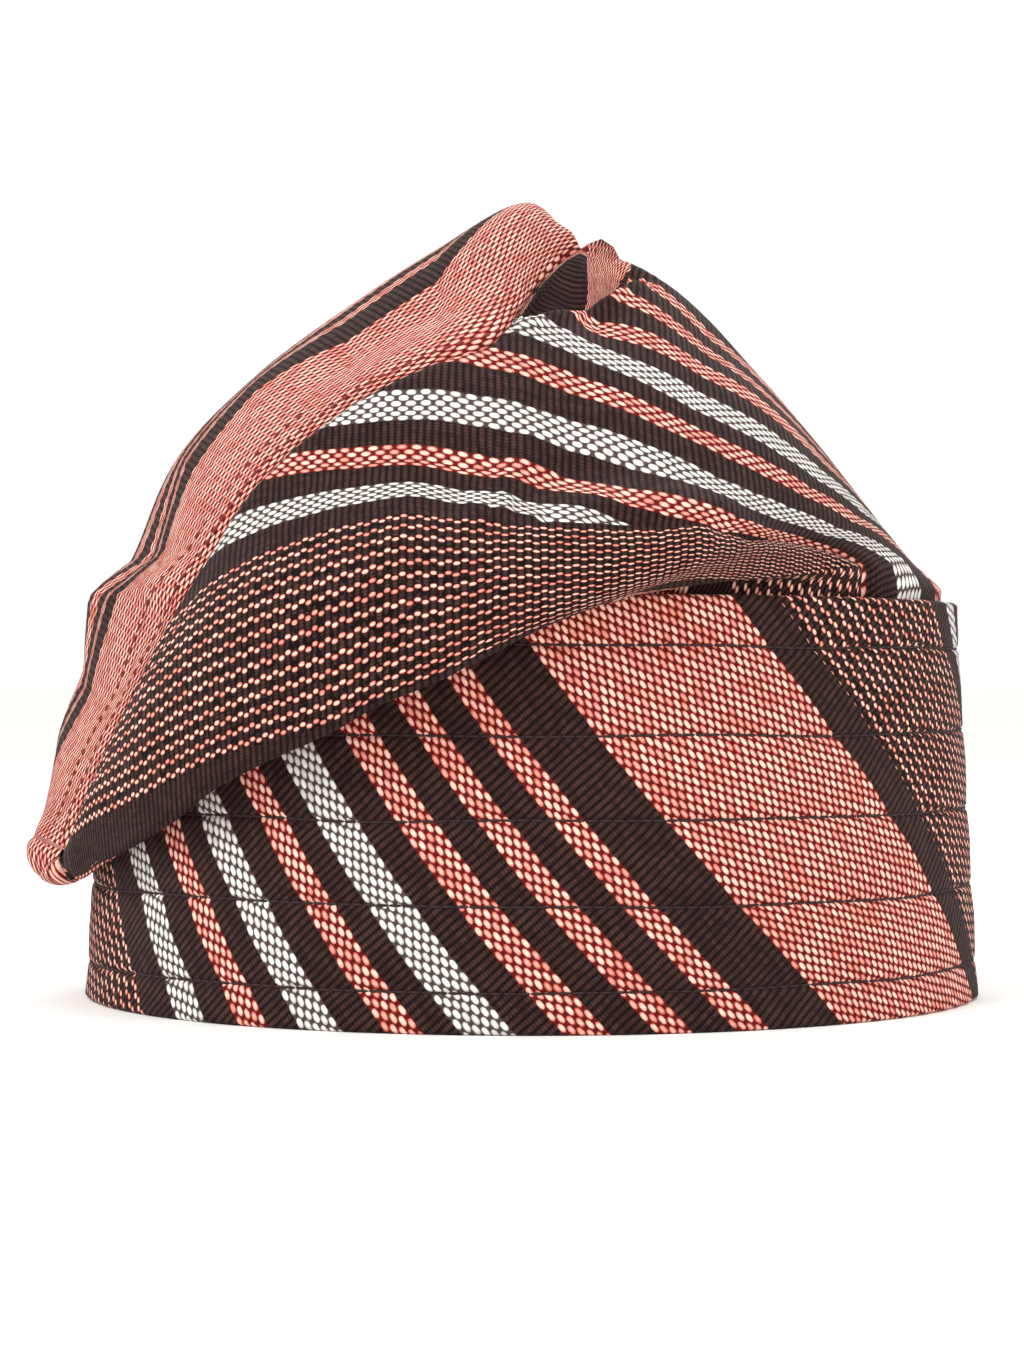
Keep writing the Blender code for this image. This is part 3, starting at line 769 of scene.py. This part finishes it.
def panel_coordinates(closed, length):
    """U and V of the panel: the wide coral stripe, those at its turned edge, and those far behind."""
    sections = at_sections(len(length))
    across = length - at_column(length, FIRST_PANEL_COLUMN)
    places, widths, rates = zip(*PANEL_CUTS)
    coral, crowding = (np.interp(sections, places, kind)[:, None] for kind in (widths, rates))
    past = np.maximum(across - coral, 0.0)
    crowded = np.minimum(past, EDGE_STRIPES / crowding)
    u = CORAL_EDGE - CORAL_WIDTH * np.minimum(across / coral, 1.0)
    u = u - crowding * crowded - PAST_EDGE * (past - crowded)
    places, values = zip(*FAR_CUTS)
    far_u = np.interp(sections, places, values)[:, None] - PAST_EDGE * (across - FAR_LENGTH)
    u += (far_u - u) * smooth_step((past - FAR_START) / FAR_BLEND)
    tip = closed[-1 - TIP_ROWS:] - closed[-1 - TIP_ROWS, FIRST_PANEL_COLUMN]
    fall = TIP_FALL_ACROSS * tip[..., 1] + TIP_FALL_OUT * tip @ np.array(PANEL_OUT)
    u[-1 - TIP_ROWS:] = CORAL_EDGE - TIP_INSET - fall
    return u, closed @ np.array(PANEL_WAY)


def cloth_coordinates(grid):
    """U and V of the grid for each part of the crown's cloth."""
    closed = closed_rows(grid)
    length = front_lengths(grid)
    roll_u, front_u = roll_and_front_u(length)
    back_u, under_u = back_and_under_u(length, front_u)
    v = body_v(closed)
    return {
        "roll": (roll_u, v), "front": (front_u, v), "behind": (patch_u(length), length),
        "back": (back_u, v), "under": (under_u, v), "panel": panel_coordinates(closed, length),
    }


def place_on_cloth(cell, rows):
    """Which part of the body's cloth a cell of the grid belongs to."""
    row, column = cell
    if column >= BACK_FOLD_COLUMN:
        return "under"
    if column >= FIRST_PANEL_COLUMN:
        return "back"
    if column < TUCK_COLUMN:
        return "roll"
    past_rim = column >= RIM_COLUMN and rim_lengths(rows)[1][row, 0] > 0.5
    return "behind" if past_rim else "front"


def wavy(point, size, seed):
    """Smooth noise from -1 to 1 at a point, for waves of a size in millimetres."""
    return noise.noise(Vector((point[0] / size + seed, point[1] / size - seed, point[2] / size)))


def tuck_and_rim(grid, normals):
    """The tuck above the dotted roll, and the front's rim with the dip behind it."""
    rows = len(grid)
    length = front_lengths(grid)[:, :-1]
    front = np.arange(grid.shape[1]) <= FRONT_COLUMNS
    cuts = cuts_of(rows)
    tucked = np.clip((cuts.tucked - TUCK_START) / TUCK_RANGE, 0.0, 1.0)
    from_tuck = length - cuts.dotted - 0.5 * TUCK_WIDTH
    tuck = -TUCK_DEPTH * tucked * hump(from_tuck, TUCK_HALF_WIDTH)
    tuck += ROLL_SWELL * tucked * hump(from_tuck + ROLL_SWELL_BACK, ROLL_SWELL_HALF_WIDTH)
    rim, amount = rim_lengths(rows)
    past = length - rim
    ridge = at_column(length, FRONT_COLUMNS) - rim
    falling = smooth_step(past / RIM_FALL)
    rising = 1.0 - smooth_step((past - RIM_FALL) / np.maximum(ridge - RIM_FALL, 1.0))
    crest = RIM_CREST * hump(past + RIM_CREST_BEFORE, RIM_CREST_HALF_WIDTH)
    height = amount * (crest - RIM_DIP * falling * rising)
    moved = grid + normals * np.array(TUCK_LEVEL) * np.where(front, tuck, 0.0)[..., None]
    return moved + normals * np.where(front, height, 0.0)[..., None]


def seam_relief(distance, v, seam):
    """The dip of a seam and the puckers beside it, at a distance from the seam."""
    pucker = PUCKER * hump(distance, PUCKER_HALF_WIDTH) * wavy((v, 0.0, 0.0), PUCKER_SIZE, seam)
    return pucker - SEAM_DIP * hump(distance, SEAM_HALF_WIDTH)


def add_small_folds(grid, normals, v):
    """Wavy unevenness of the soft cloth and the dip along its seams, along the normals."""
    rows = len(grid)
    moved = grid.copy()
    length = front_lengths(grid)
    section_end = rows - 1 - TIP_ROWS
    first_row = BAND_LOOPS * ROWS_BETWEEN
    for r in range(first_row, rows - 1):
        settled = min((r - first_row) / (2.0 * ROWS_BETWEEN), 1.0)
        for c in range(1, BACK_FOLD_COLUMN + 1):
            from_fold = min(c, BACK_FOLD_COLUMN - c) / POUCH_EASE
            freedom = settled * min(from_fold, 1.0)
            place = (length[r, c], v[r, c] * WAVE_SHARE_ALONG, 0.0)
            height = sum(high * wavy(place, size, seed) for high, size, seed in CLOTH_WAVES)
            if PANEL_ROW < r < section_end:
                for seam in (FIRST_PANEL_COLUMN, LAST_PANEL_COLUMN):
                    height += seam_relief(abs(length[r, c] - length[r, seam]), v[r, c], seam)
            moved[r, c] += normals[r, c] * height * freedom
    return moved


def pull_back(grid, row, column, neighbour, distance):
    """A point moved from a seam towards its neighbour."""
    here, there = grid[row, column], grid[neighbour]
    step = there - here
    length = np.linalg.norm(step)
    return here if length < 2.0 * distance else here + step * distance / length


def add_point(shell, point):
    """A vertex of a shell at a point in millimetres from the band's axis."""
    return shell.verts.new(Vector(point * MM + AXIS))


def cloth_shell(name, outer, inner, cells, coordinates_of):
    """A closed wall of cloth over the given cells of its outer and inner grids, with its UV map."""
    shell = bmesh.new()
    cloth_map = shell.loops.layers.uv.new("cloth")
    rows, columns = outer.shape[:2]
    made = {}

    def vertex(place, wall):
        key = (*shared_place(*place, rows), wall is inner)
        if key not in made:
            made[key] = add_point(shell, wall[key[0], key[1]])
        return made[key]

    def face(corners, cell):
        u, v = coordinates_of(cell)
        made_face = shell.faces.new([vertex((r, c % columns), wall) for (r, c), wall in corners])
        made_face.smooth = True
        for loop, ((r, c), _) in zip(made_face.loops, corners):
            loop[cloth_map].uv = (u[r, c], v[r, c])

    edges = {}
    for row, column in cells:
        corners = [(row, column), (row, column + 1), (row + 1, column + 1), (row + 1, column)]
        ring = {}
        for corner in corners:
            ring.setdefault(shared_place(corner[0], corner[1] % columns, rows), corner)
        places, ring = list(ring), list(ring.values())
        if len(ring) < 3:
            continue
        face([(place, outer) for place in ring], (row, column))
        face([(place, inner) for place in reversed(ring)], (row, column))
        for i in range(len(ring)):
            j = (i + 1) % len(ring)
            if edges.pop((places[j], places[i]), None) is None:
                edges[places[i], places[j]] = (ring[i], ring[j], (row, column))
    for here, there, cell in edges.values():
        face([(there, outer), (here, outer), (here, inner), (there, inner)], cell)
    return add_piece(name, shell)


def add_piece(name, shell):
    """A piece of the scene from a finished shell."""
    mesh = bpy.data.meshes.new(name)
    shell.to_mesh(mesh)
    shell.free()
    piece = bpy.data.objects.new(name, mesh)
    bpy.context.scene.collection.objects.link(piece)
    return piece


def make_crown():
    """The crown's tube and the panel that closes it, sewn together along the panel's edge."""
    grid = line_up_columns(crown_rows())
    grid = sink_folds(grid, grid_normals(grid))
    coordinates = cloth_coordinates(grid)
    grid = tuck_and_rim(grid, grid_normals(grid))
    grid = add_small_folds(grid, grid_normals(grid), coordinates["front"][1])
    normals = grid_normals(grid)
    rows, columns = grid.shape[:2]
    section_end = rows - 1 - TIP_ROWS
    first, last = FIRST_PANEL_COLUMN, LAST_PANEL_COLUMN
    panel_cells = [(r, c) for r in range(PANEL_ROW, section_end) for c in range(first, last)]
    tip_cells = [(r, c) for r in range(section_end, rows - 1) for c in range(columns)]
    taken = set(panel_cells)
    all_cells = [(r, c) for r in range(section_end) for c in range(columns)]
    body_cells = [cell for cell in all_cells if cell not in taken]

    body = grid.copy()
    panel = grid.copy()
    for r in range(PANEL_ROW + 1, section_end + 1):
        body[r, first] = pull_back(grid, r, first, (r, first - 1), SEWING_GAP)
        panel[r, first] = pull_back(grid, r, first, (r, first + 1), SEWING_GAP)
        body[r, last] = pull_back(grid, r, last, (r, last + 1), SEWING_GAP)
        panel[r, last] = pull_back(grid, r, last, (r, last - 1), SEWING_GAP)
    for c in range(columns):
        if not first < c < last:
            before, after = (section_end - 1, c), (section_end + 1, c)
            body[section_end, c] = pull_back(body, section_end, c, before, SEWING_GAP)
            panel[section_end, c] = pull_back(panel, section_end, c, after, SEWING_GAP)

    crown_body = cloth_shell(
        "crown_body_cloth", body, body - CLOTH * normals, body_cells,
        lambda cell: coordinates[place_on_cloth(cell, rows)])
    crown_top = cloth_shell(
        "crown_top_cloth", panel, panel - CLOTH * normals, panel_cells + tip_cells,
        lambda cell: coordinates["panel"])
    lines = [panel_line(panel, normals, *line) for line in PANEL_STITCHES]
    stitches = stitch_piece("panel_stitches", lines, *PANEL_STITCH)
    return crown_body, crown_top, stitches


def add_stitches(shell, path, normals, length, space, dip):
    """Sewn stitches along a path: short threads that dip into the cloth at both ends."""
    run = running_length(path)
    count = int(run[-1] // (length + space))
    pitch = run[-1] / count
    turns = np.arange(THREAD_SIDES) * 2.0 * np.pi / THREAD_SIDES
    lifts = (-dip, *STITCH_LIFTS, -dip)
    for i in range(count):
        places = i * pitch + np.array(STITCH_PLACES) * length
        middles, out = along_line(places, run, path), along_line(places, run, normals)
        out /= np.linalg.norm(out, axis=1, keepdims=True)
        along = middles[-1] - middles[0]
        side = np.cross(along / np.linalg.norm(along), out)
        rings = []
        for middle, up, beside, lift, size in zip(middles, out, side, lifts, STITCH_SIZES):
            middle = middle + up * lift * THREAD_RADIUS
            ring = [middle + size * THREAD_RADIUS * (beside * np.cos(a) + up * np.sin(a)) for a in turns]
            rings.append([add_point(shell, point) for point in ring])
        for here, there in zip(rings, rings[1:]):
            for k in range(THREAD_SIDES):
                m = (k + 1) % THREAD_SIDES
                shell.faces.new((here[k], there[k], there[m], here[m])).smooth = True
        shell.faces.new(rings[0])
        shell.faces.new(rings[-1][::-1])


def stitch_piece(name, paths, length, space, dip):
    """One piece of sewing thread with the stitches of several rows."""
    shell = bmesh.new()
    for path, normals in paths:
        add_stitches(shell, path, normals, length, space, dip)
    return add_piece(name, shell)


def panel_line(grid, normals, distance, first_section, last_section):
    """A line on the panel at a distance from its front seam, over some of the sections."""
    line, out = [], []
    first = int((BAND_LOOPS + first_section) * ROWS_BETWEEN)
    last = int((BAND_LOOPS + last_section) * ROWS_BETWEEN)
    for row in range(first, last + 1):
        across = slice(FIRST_PANEL_COLUMN, LAST_PANEL_COLUMN + 1)
        run = running_length(grid[row, across])
        line.append(along_line(distance, run, grid[row, across]))
        out.append(along_line(distance, run, normals[row, across]))
    return np.array(line), np.array(out)


def band_cut(arc, height):
    """U and V of the band's cloth, which is cut on the bias, at an arc from the front's middle."""
    turn_start, turn_span = U_UP_TURN
    white_arc, white_height = WHITE_ON_BAND
    up = height - white_height
    rise = U_UP + U_UP_GROWTH * smooth_step((arc - turn_start) / turn_span)
    u = WHITE_MIDDLE + U_ROUND * (arc - white_arc) + up * rise
    v = (U_ROUND * up - V_ROUND * arc) / V_SCALE
    return u, v


def band_profile():
    """Heights up the band's outer face, close together at the stitch rows."""
    heights = {*FACE_ENDS, *(BAND_HEIGHT - end for end in FACE_ENDS)}
    heights.update(np.linspace(FACE_MARGIN, BAND_HEIGHT - FACE_MARGIN, FACE_ROWS))
    for stitch in STITCH_HEIGHTS:
        heights = {h for h in heights if abs(h - stitch) > FACE_MARGIN}
        heights.update(stitch + step for step in STEPS_AT_STITCH)
    return sorted(heights)


def from_stitches(height):
    """How far a height on the band is from the nearest row of stitches."""
    return min(abs(stitch - height) for stitch in STITCH_HEIGHTS)


def noise_place(azimuth, height, scale):
    """A place on the band for its noise, with a scale round it and upwards."""
    around, up = scale
    return Vector((around * np.cos(azimuth), around * np.sin(azimuth), height / up))


def band_swell(azimuth, height):
    """How far the quilted face stands out from the plain oval, in millimetres."""
    nearest = from_stitches(height)
    swell = -QUILT_SWELL * hump(nearest, QUILT_REACH) - STITCH_SINK * hump(nearest, STITCH_HALF_WIDTH)
    spot = noise_place(azimuth, height, WAVE_SCALE)
    swell -= BACK_SEAM_SINK * hump(azimuth % (2.0 * np.pi) - 0.5 * np.pi, BACK_SEAM_ARC)
    return swell + sum(high * noise.noise(spot * fineness) for high, fineness in BAND_WAVES)


def wandered(azimuth, height):
    """A height on the band, moved with the stitch rows, which aren't quite level."""
    nearest = from_stitches(height)
    place = noise_place(azimuth, height, WANDER_SCALE)
    return height + STITCH_WANDER * noise.noise(place) * hump(nearest, WANDER_REACH)


def band_stitch_path(height):
    """The line of one stitch row round the band, and its way out."""
    azimuths = np.linspace(0.0, 2.0 * np.pi, BAND_STEPS + 1)
    path = [oval_point(a, -band_swell(a, height), wandered(a, height)) for a in azimuths]
    out = [(np.cos(a), np.sin(a), 0.0) for a in azimuths]
    return np.array(path), np.array(out)


def make_band():
    """The band: a quilted oval wall with soft edges and a plain inside."""
    heights = band_profile()
    azimuths = -0.5 * np.pi + np.linspace(-np.pi, np.pi, BAND_STEPS + 1)
    shell = bmesh.new()
    cloth_map = shell.loops.layers.uv.new("cloth")
    profile = [(inset, z, False) for inset, z in BAND_EDGE]
    profile += [(0.0, z, True) for z in heights]
    profile += [(inset, BAND_HEIGHT - z, False) for inset, z in reversed(BAND_EDGE)]
    inside = np.linspace(BAND_HEIGHT - INNER_EDGE, INNER_EDGE, INNER_ROWS)
    profile += [(BAND_WALL, z, False) for z in inside]
    rings, maps = [], []
    for azimuth in azimuths[:-1]:
        ring = []
        for inset, height, quilted in profile:
            if quilted:
                inset -= band_swell(azimuth, height)
                height = wandered(azimuth, height)
            point = oval_point(azimuth, inset, height)
            ring.append(add_point(shell, point))
        rings.append(ring)
    middle_radius = 0.5 * (BAND_HALF_WIDTH + BAND_HALF_DEPTH)
    for azimuth in azimuths:
        arc = (azimuth + 0.5 * np.pi) * middle_radius
        maps.append([band_cut(arc, height) for _, height, _ in profile])
    count = len(profile)
    for i in range(BAND_STEPS):
        here, there = rings[i], rings[(i + 1) % BAND_STEPS]
        for k in range(count):
            m = (k + 1) % count
            face = shell.faces.new((here[k], there[k], there[m], here[m]))
            face.smooth = True
            corners = (maps[i][k], maps[i + 1][k], maps[i + 1][m], maps[i][m])
            for loop, corner in zip(face.loops, corners):
                loop[cloth_map].uv = corner
    return add_piece("band_cloth", shell)


class Graph:
    """Makes nodes in a tree, with sockets or plain numbers as their inputs."""

    def __init__(self, tree):
        self.tree = tree

    def node(self, kind, **settings):
        made = self.tree.nodes.new(kind)
        for name, value in settings.items():
            setattr(made, name, value)
        return made

    def feed(self, socket, value):
        if isinstance(value, bpy.types.NodeSocket):
            self.tree.links.new(value, socket)
        else:
            socket.default_value = value

    def math(self, operation, first, second=0.0, clamp=False):
        made = self.node("ShaderNodeMath", operation=operation, use_clamp=clamp)
        self.feed(made.inputs[0], first)
        self.feed(made.inputs[1], second)
        return made.outputs[0]

    def plus(self, first, second, clamp=False):
        return self.math("ADD", first, second, clamp)

    def minus(self, first, second):
        return self.math("SUBTRACT", first, second)

    def times(self, first, second, clamp=False):
        return self.math("MULTIPLY", first, second, clamp)

    def mix(self, share, first, second, blend="MIX"):
        made = self.node("ShaderNodeMix", data_type="RGBA", blend_type=blend)
        self.feed(made.inputs[0], share)
        self.feed(made.inputs[6], first)
        self.feed(made.inputs[7], second)
        return made.outputs[2]

    def blend(self, share, first, second):
        made = self.node("ShaderNodeMix", data_type="FLOAT")
        self.feed(made.inputs[0], share)
        self.feed(made.inputs[2], first)
        self.feed(made.inputs[3], second)
        return made.outputs[0]

    def noise(self, vector, scale, detail):
        made = self.node("ShaderNodeTexNoise")
        self.feed(made.inputs["Vector"], vector)
        made.inputs["Scale"].default_value = scale
        made.inputs["Detail"].default_value = detail
        return made.outputs["Fac"]


def thread_dome(graph, across, along, half_size):
    """Height of a rounded thread top: 1 at its middle and 0 outside it."""
    half_width, half_length = half_size
    wide = graph.math("POWER", graph.math("ABSOLUTE", graph.math("DIVIDE", across, half_width)), 2.0)
    long = graph.math("POWER", graph.math("ABSOLUTE", graph.math("DIVIDE", along, half_length)), 2.4)
    inside = graph.minus(1.0, graph.plus(wide, long))
    return graph.math("SQRT", graph.math("MAXIMUM", inside, 0.0))


def striped_weave_group():
    """The striped hand-woven cloth: colour with painted shade between the threads and a painted
    highlight on the coral beads, height, and a mask of its lit thread tops.
    """
    tree = bpy.data.node_groups.new("striped_weave", "ShaderNodeTree")
    tree.interface.new_socket("Cloth", in_out="INPUT", socket_type="NodeSocketVector")
    tree.interface.new_socket("Color", in_out="OUTPUT", socket_type="NodeSocketColor")
    tree.interface.new_socket("Height", in_out="OUTPUT", socket_type="NodeSocketFloat")
    tree.interface.new_socket("Thread", in_out="OUTPUT", socket_type="NodeSocketFloat")
    graph = Graph(tree)
    cloth = graph.node("NodeGroupInput").outputs["Cloth"]
    out = graph.node("NodeGroupOutput")
    split = graph.node("ShaderNodeSeparateXYZ")
    graph.feed(split.inputs[0], cloth)

    swayed = []
    for plain, (fineness, reach) in zip(split.outputs, (SWAY_ACROSS, SWAY_ALONG)):
        sway = graph.minus(graph.noise(cloth, fineness, 2.0), 0.5)
        swayed.append(graph.plus(plain, graph.times(sway, reach)))
    u, v = swayed

    ends = graph.math("DIVIDE", u, WARP_PITCH)
    end = graph.math("FLOOR", ends)
    beside = graph.minus(graph.minus(ends, end), 0.5)
    parity = graph.math("FLOORED_MODULO", end, 2.0)
    beads = graph.plus(graph.math("DIVIDE", v, 2.0 * WEFT_PITCH), graph.times(parity, 0.5))
    bead = graph.math("FLOOR", beads)
    along = graph.minus(graph.minus(beads, bead), 0.5)

    place = graph.times(graph.plus(end, 0.5), WARP_PITCH)
    place = graph.math("DIVIDE", graph.math("FLOORED_MODULO", place, REPEAT), REPEAT)
    ramp = graph.node("ShaderNodeValToRGB")
    ramp.color_ramp.interpolation = "CONSTANT"
    elements = ramp.color_ramp.elements
    elements.remove(elements[1])
    position = 0.0
    for i, (kind, width) in enumerate(STRIPES):
        element = elements[0] if i == 0 else elements.new(position)
        element.position = position
        element.color = STRIPE_MASKS[kind]
        position += width / REPEAT
    graph.feed(ramp.inputs[0], place)
    masks = graph.node("ShaderNodeSeparateColor")
    graph.feed(masks.inputs[0], ramp.outputs[0])
    coral, white, dotted = masks.outputs[0], masks.outputs[1], masks.outputs[2]

    dome = thread_dome(graph, beside, along, BEAD_HALF_SIZE)
    rows = graph.math("DIVIDE", u, DOT_ROW_PITCH)
    dots = graph.math("DIVIDE", v, DOT_PITCH)
    dot = graph.math("FLOOR", dots)
    zigzag = graph.minus(graph.math("FLOORED_MODULO", dot, 2.0), 0.5)
    off_row = graph.minus(graph.minus(rows, graph.math("FLOOR", rows)), 0.5)
    off_row = graph.plus(off_row, graph.times(zigzag, DOT_ZIGZAG))
    off_dot = graph.minus(graph.minus(dots, dot), 0.5)
    dot_dome = thread_dome(graph, off_row, off_dot, DOT_HALF_SIZE)
    dots = graph.times(dotted, graph.math("GREATER_THAN", dot_dome, 0.02))
    bright = graph.plus(coral, white, clamp=True)

    rib = graph.math("ABSOLUTE", graph.math("SINE", graph.times(v, np.pi / WEFT_PITCH)))
    strand = graph.math("ABSOLUTE", graph.math("SINE", graph.times(u, np.pi / STRAND_PITCH)))
    plain = graph.times(rib, graph.plus(0.6, graph.times(strand, 0.4)))
    fineness, threshold, depth = WORN_HOLES
    holes = graph.math("GREATER_THAN", graph.noise(cloth, fineness, 1.0), threshold)
    holes = graph.minus(1.0, graph.times(dotted, graph.times(holes, depth)))
    plain = graph.times(graph.times(plain, 0.8), holes)
    height = graph.blend(bright, graph.blend(dots, plain, dot_dome), dome)

    cell = graph.node("ShaderNodeCombineXYZ")
    graph.feed(cell.inputs[0], end)
    graph.feed(cell.inputs[1], bead)
    chance = graph.node("ShaderNodeTexWhiteNoise", noise_dimensions="2D")
    graph.feed(chance.inputs["Vector"], cell.outputs[0])
    fuzz_fineness, fuzz_height = FUZZ
    fuzz = graph.noise(cloth, fuzz_fineness, 3.0)
    # Painted shade of the weave's relief: lit follows the threads' height, so the colours below are
    # light on the thread tops and dark between them; the fuzz and a chance for each bead vary it at
    # random
    lit = graph.plus(0.55, graph.times(fuzz, 0.9))
    lit = graph.times(graph.math("POWER", height, 0.8), lit, clamp=True)
    chance = graph.plus(0.8, graph.times(chance.outputs["Value"], 0.35))
    lit = graph.times(lit, chance, clamp=True)

    # Painted shade: coral goes from its lit thread tops to dark red in the gaps between them
    coral_color = graph.mix(graph.times(lit, 2.0, clamp=True), CORAL_GAP_SHADE, CORAL_TOP)
    # Painted highlight: the most lit middles of the coral beads turn pale
    painted_highlight = graph.times(graph.minus(lit, 0.6), 2.4, clamp=True)
    coral_color = graph.mix(painted_highlight, coral_color, CORAL_PAINTED_HIGHLIGHT)
    # White goes from its lit thread tops to the brown weft between them, with painted shade on the way
    white_color = graph.mix(lit, WHITE_GAP_WEFT_AND_SHADE, WHITE_TOP)
    # Painted shade: brown goes from its lit thread tops to near black in the gaps and between the ribs
    brown_color = graph.mix(graph.times(lit, lit), BROWN_GAP_SHADE, BROWN_TOP)
    color = graph.mix(graph.plus(coral, dots, clamp=True), brown_color, coral_color)
    color = graph.mix(white, color, white_color)
    fineness, darkest, lighter = FADED
    faded = graph.plus(darkest, graph.times(graph.noise(cloth, fineness, 3.0), lighter))
    shade = graph.node("ShaderNodeCombineColor")
    for socket in shade.inputs[:3]:
        graph.feed(socket, faded)
    color = graph.mix(1.0, color, shade.outputs[0], "MULTIPLY")
    graph.feed(out.inputs["Color"], color)
    graph.feed(out.inputs["Height"], graph.plus(height, graph.times(fuzz, fuzz_height)))
    graph.feed(out.inputs["Thread"], lit)
    return tree


def new_material(name):
    """A material and its surface shader."""
    material = bpy.data.materials.new(name)
    material.use_nodes = True
    return material, material.node_tree.nodes["Principled BSDF"]


def woven_material(name, group):
    """Cloth with the striped weave, matte with a slight sheen."""
    material, shader = new_material(name)
    graph = Graph(material.node_tree)
    coordinates = graph.node("ShaderNodeUVMap", uv_map="cloth")
    weave = graph.node("ShaderNodeGroup", node_tree=group)
    graph.feed(weave.inputs["Cloth"], coordinates.outputs[0])
    bump = graph.node("ShaderNodeBump")
    bump.inputs["Strength"].default_value = 0.8
    bump.inputs["Distance"].default_value = WEAVE_RELIEF * MM
    graph.feed(bump.inputs["Height"], weave.outputs["Height"])
    graph.feed(shader.inputs["Base Color"], weave.outputs["Color"])
    graph.feed(shader.inputs["Roughness"], graph.blend(weave.outputs["Thread"], 0.95, 0.7))
    graph.feed(shader.inputs["Normal"], bump.outputs[0])
    shader.inputs["Specular IOR Level"].default_value = 0.12
    shader.inputs["Sheen Weight"].default_value = 0.03
    shader.inputs["Sheen Roughness"].default_value = 0.5
    return material


def thread_material(name, color):
    """Sewing thread: matte, with a fine twist."""
    material, shader = new_material(name)
    graph = Graph(material.node_tree)
    place = graph.node("ShaderNodeTexCoord").outputs["Object"]
    twist = graph.noise(place, 3500.0, 2.0)
    dark = tuple(0.4 * channel for channel in color[:3]) + (1.0,)
    graph.feed(shader.inputs["Base Color"], graph.mix(twist, dark, color))
    bump = graph.node("ShaderNodeBump")
    bump.inputs["Strength"].default_value = 0.5
    bump.inputs["Distance"].default_value = 0.1 * MM
    graph.feed(bump.inputs["Height"], twist)
    graph.feed(shader.inputs["Normal"], bump.outputs[0])
    graph.feed(shader.inputs["Roughness"], graph.blend(twist, 0.9, 0.6))
    return material


def plain_material(name, color, roughness):
    """One plain colour."""
    material, shader = new_material(name)
    shader.inputs["Base Color"].default_value = color
    shader.inputs["Roughness"].default_value = roughness
    return material


def make_stage():
    """The pale floor, the soft light and the camera."""
    bpy.ops.mesh.primitive_plane_add(size=FLOOR_SIZE)
    floor = bpy.context.object
    floor.name = "floor"
    floor.data.materials.append(plain_material("floor_white", FLOOR_WHITE, 0.7))

    world = bpy.data.worlds.new("studio")
    bpy.context.scene.world = world
    world.use_nodes = True
    background = world.node_tree.nodes["Background"]
    background.inputs["Color"].default_value = (1.0, 1.0, 0.98, 1.0)
    background.inputs["Strength"].default_value = WORLD_STRENGTH
    bpy.context.scene.view_settings.view_transform = "Standard"

    for name, place, size, power in LIGHTS:
        lamp = bpy.data.lights.new(name, "AREA")
        lamp.shape = "DISK"
        lamp.size = size
        lamp.energy = power
        holder = bpy.data.objects.new(name, lamp)
        holder.location = place
        aim = Vector(LIT_PLACE) - Vector(place)
        holder.rotation_euler = aim.to_track_quat("-Z", "Y").to_euler()
        bpy.context.scene.collection.objects.link(holder)

    camera_data = bpy.data.cameras.new("camera")
    camera_data.lens = LENS
    camera_data.clip_start = 0.01
    camera = bpy.data.objects.new("camera", camera_data)
    camera.location = Vector(np.array(EYE) * MM + AXIS)
    camera.rotation_euler = (0.5 * np.pi, 0.0, 0.0)
    bpy.context.scene.collection.objects.link(camera)
    bpy.context.scene.camera = camera


for chosen in bpy.context.selected_objects:
    chosen.select_set(False)

make_stage()
weave_group = striped_weave_group()
weave_names = ("band_weave", "crown_weave", "panel_weave")
cloth = {name: woven_material(name, weave_group) for name in weave_names}

band = make_band()
band.data.materials.append(cloth["band_weave"])
crown_body, crown_top, panel_stitches = make_crown()
crown_body.data.materials.append(cloth["crown_weave"])
crown_top.data.materials.append(cloth["panel_weave"])
band_stitches = stitch_piece(
    "band_stitches", [band_stitch_path(height) for height in STITCH_HEIGHTS], *BAND_STITCH)
band_stitches.data.materials.append(thread_material("thread_dark", THREAD_BROWN))
panel_stitches.data.materials.append(thread_material("thread_red", THREAD_RED))

for piece, node, slot in (
        (band, "band", "band_cloth"),
        (crown_body, "crown_body", "crown_body_cloth"),
        (crown_top, "crown_top", "crown_top_cloth")):
    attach(piece, "root")
    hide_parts(node)
for stitches, slot in ((band_stitches, "band_cloth"), (panel_stitches, "crown_top_cloth")):
    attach(stitches, "root")
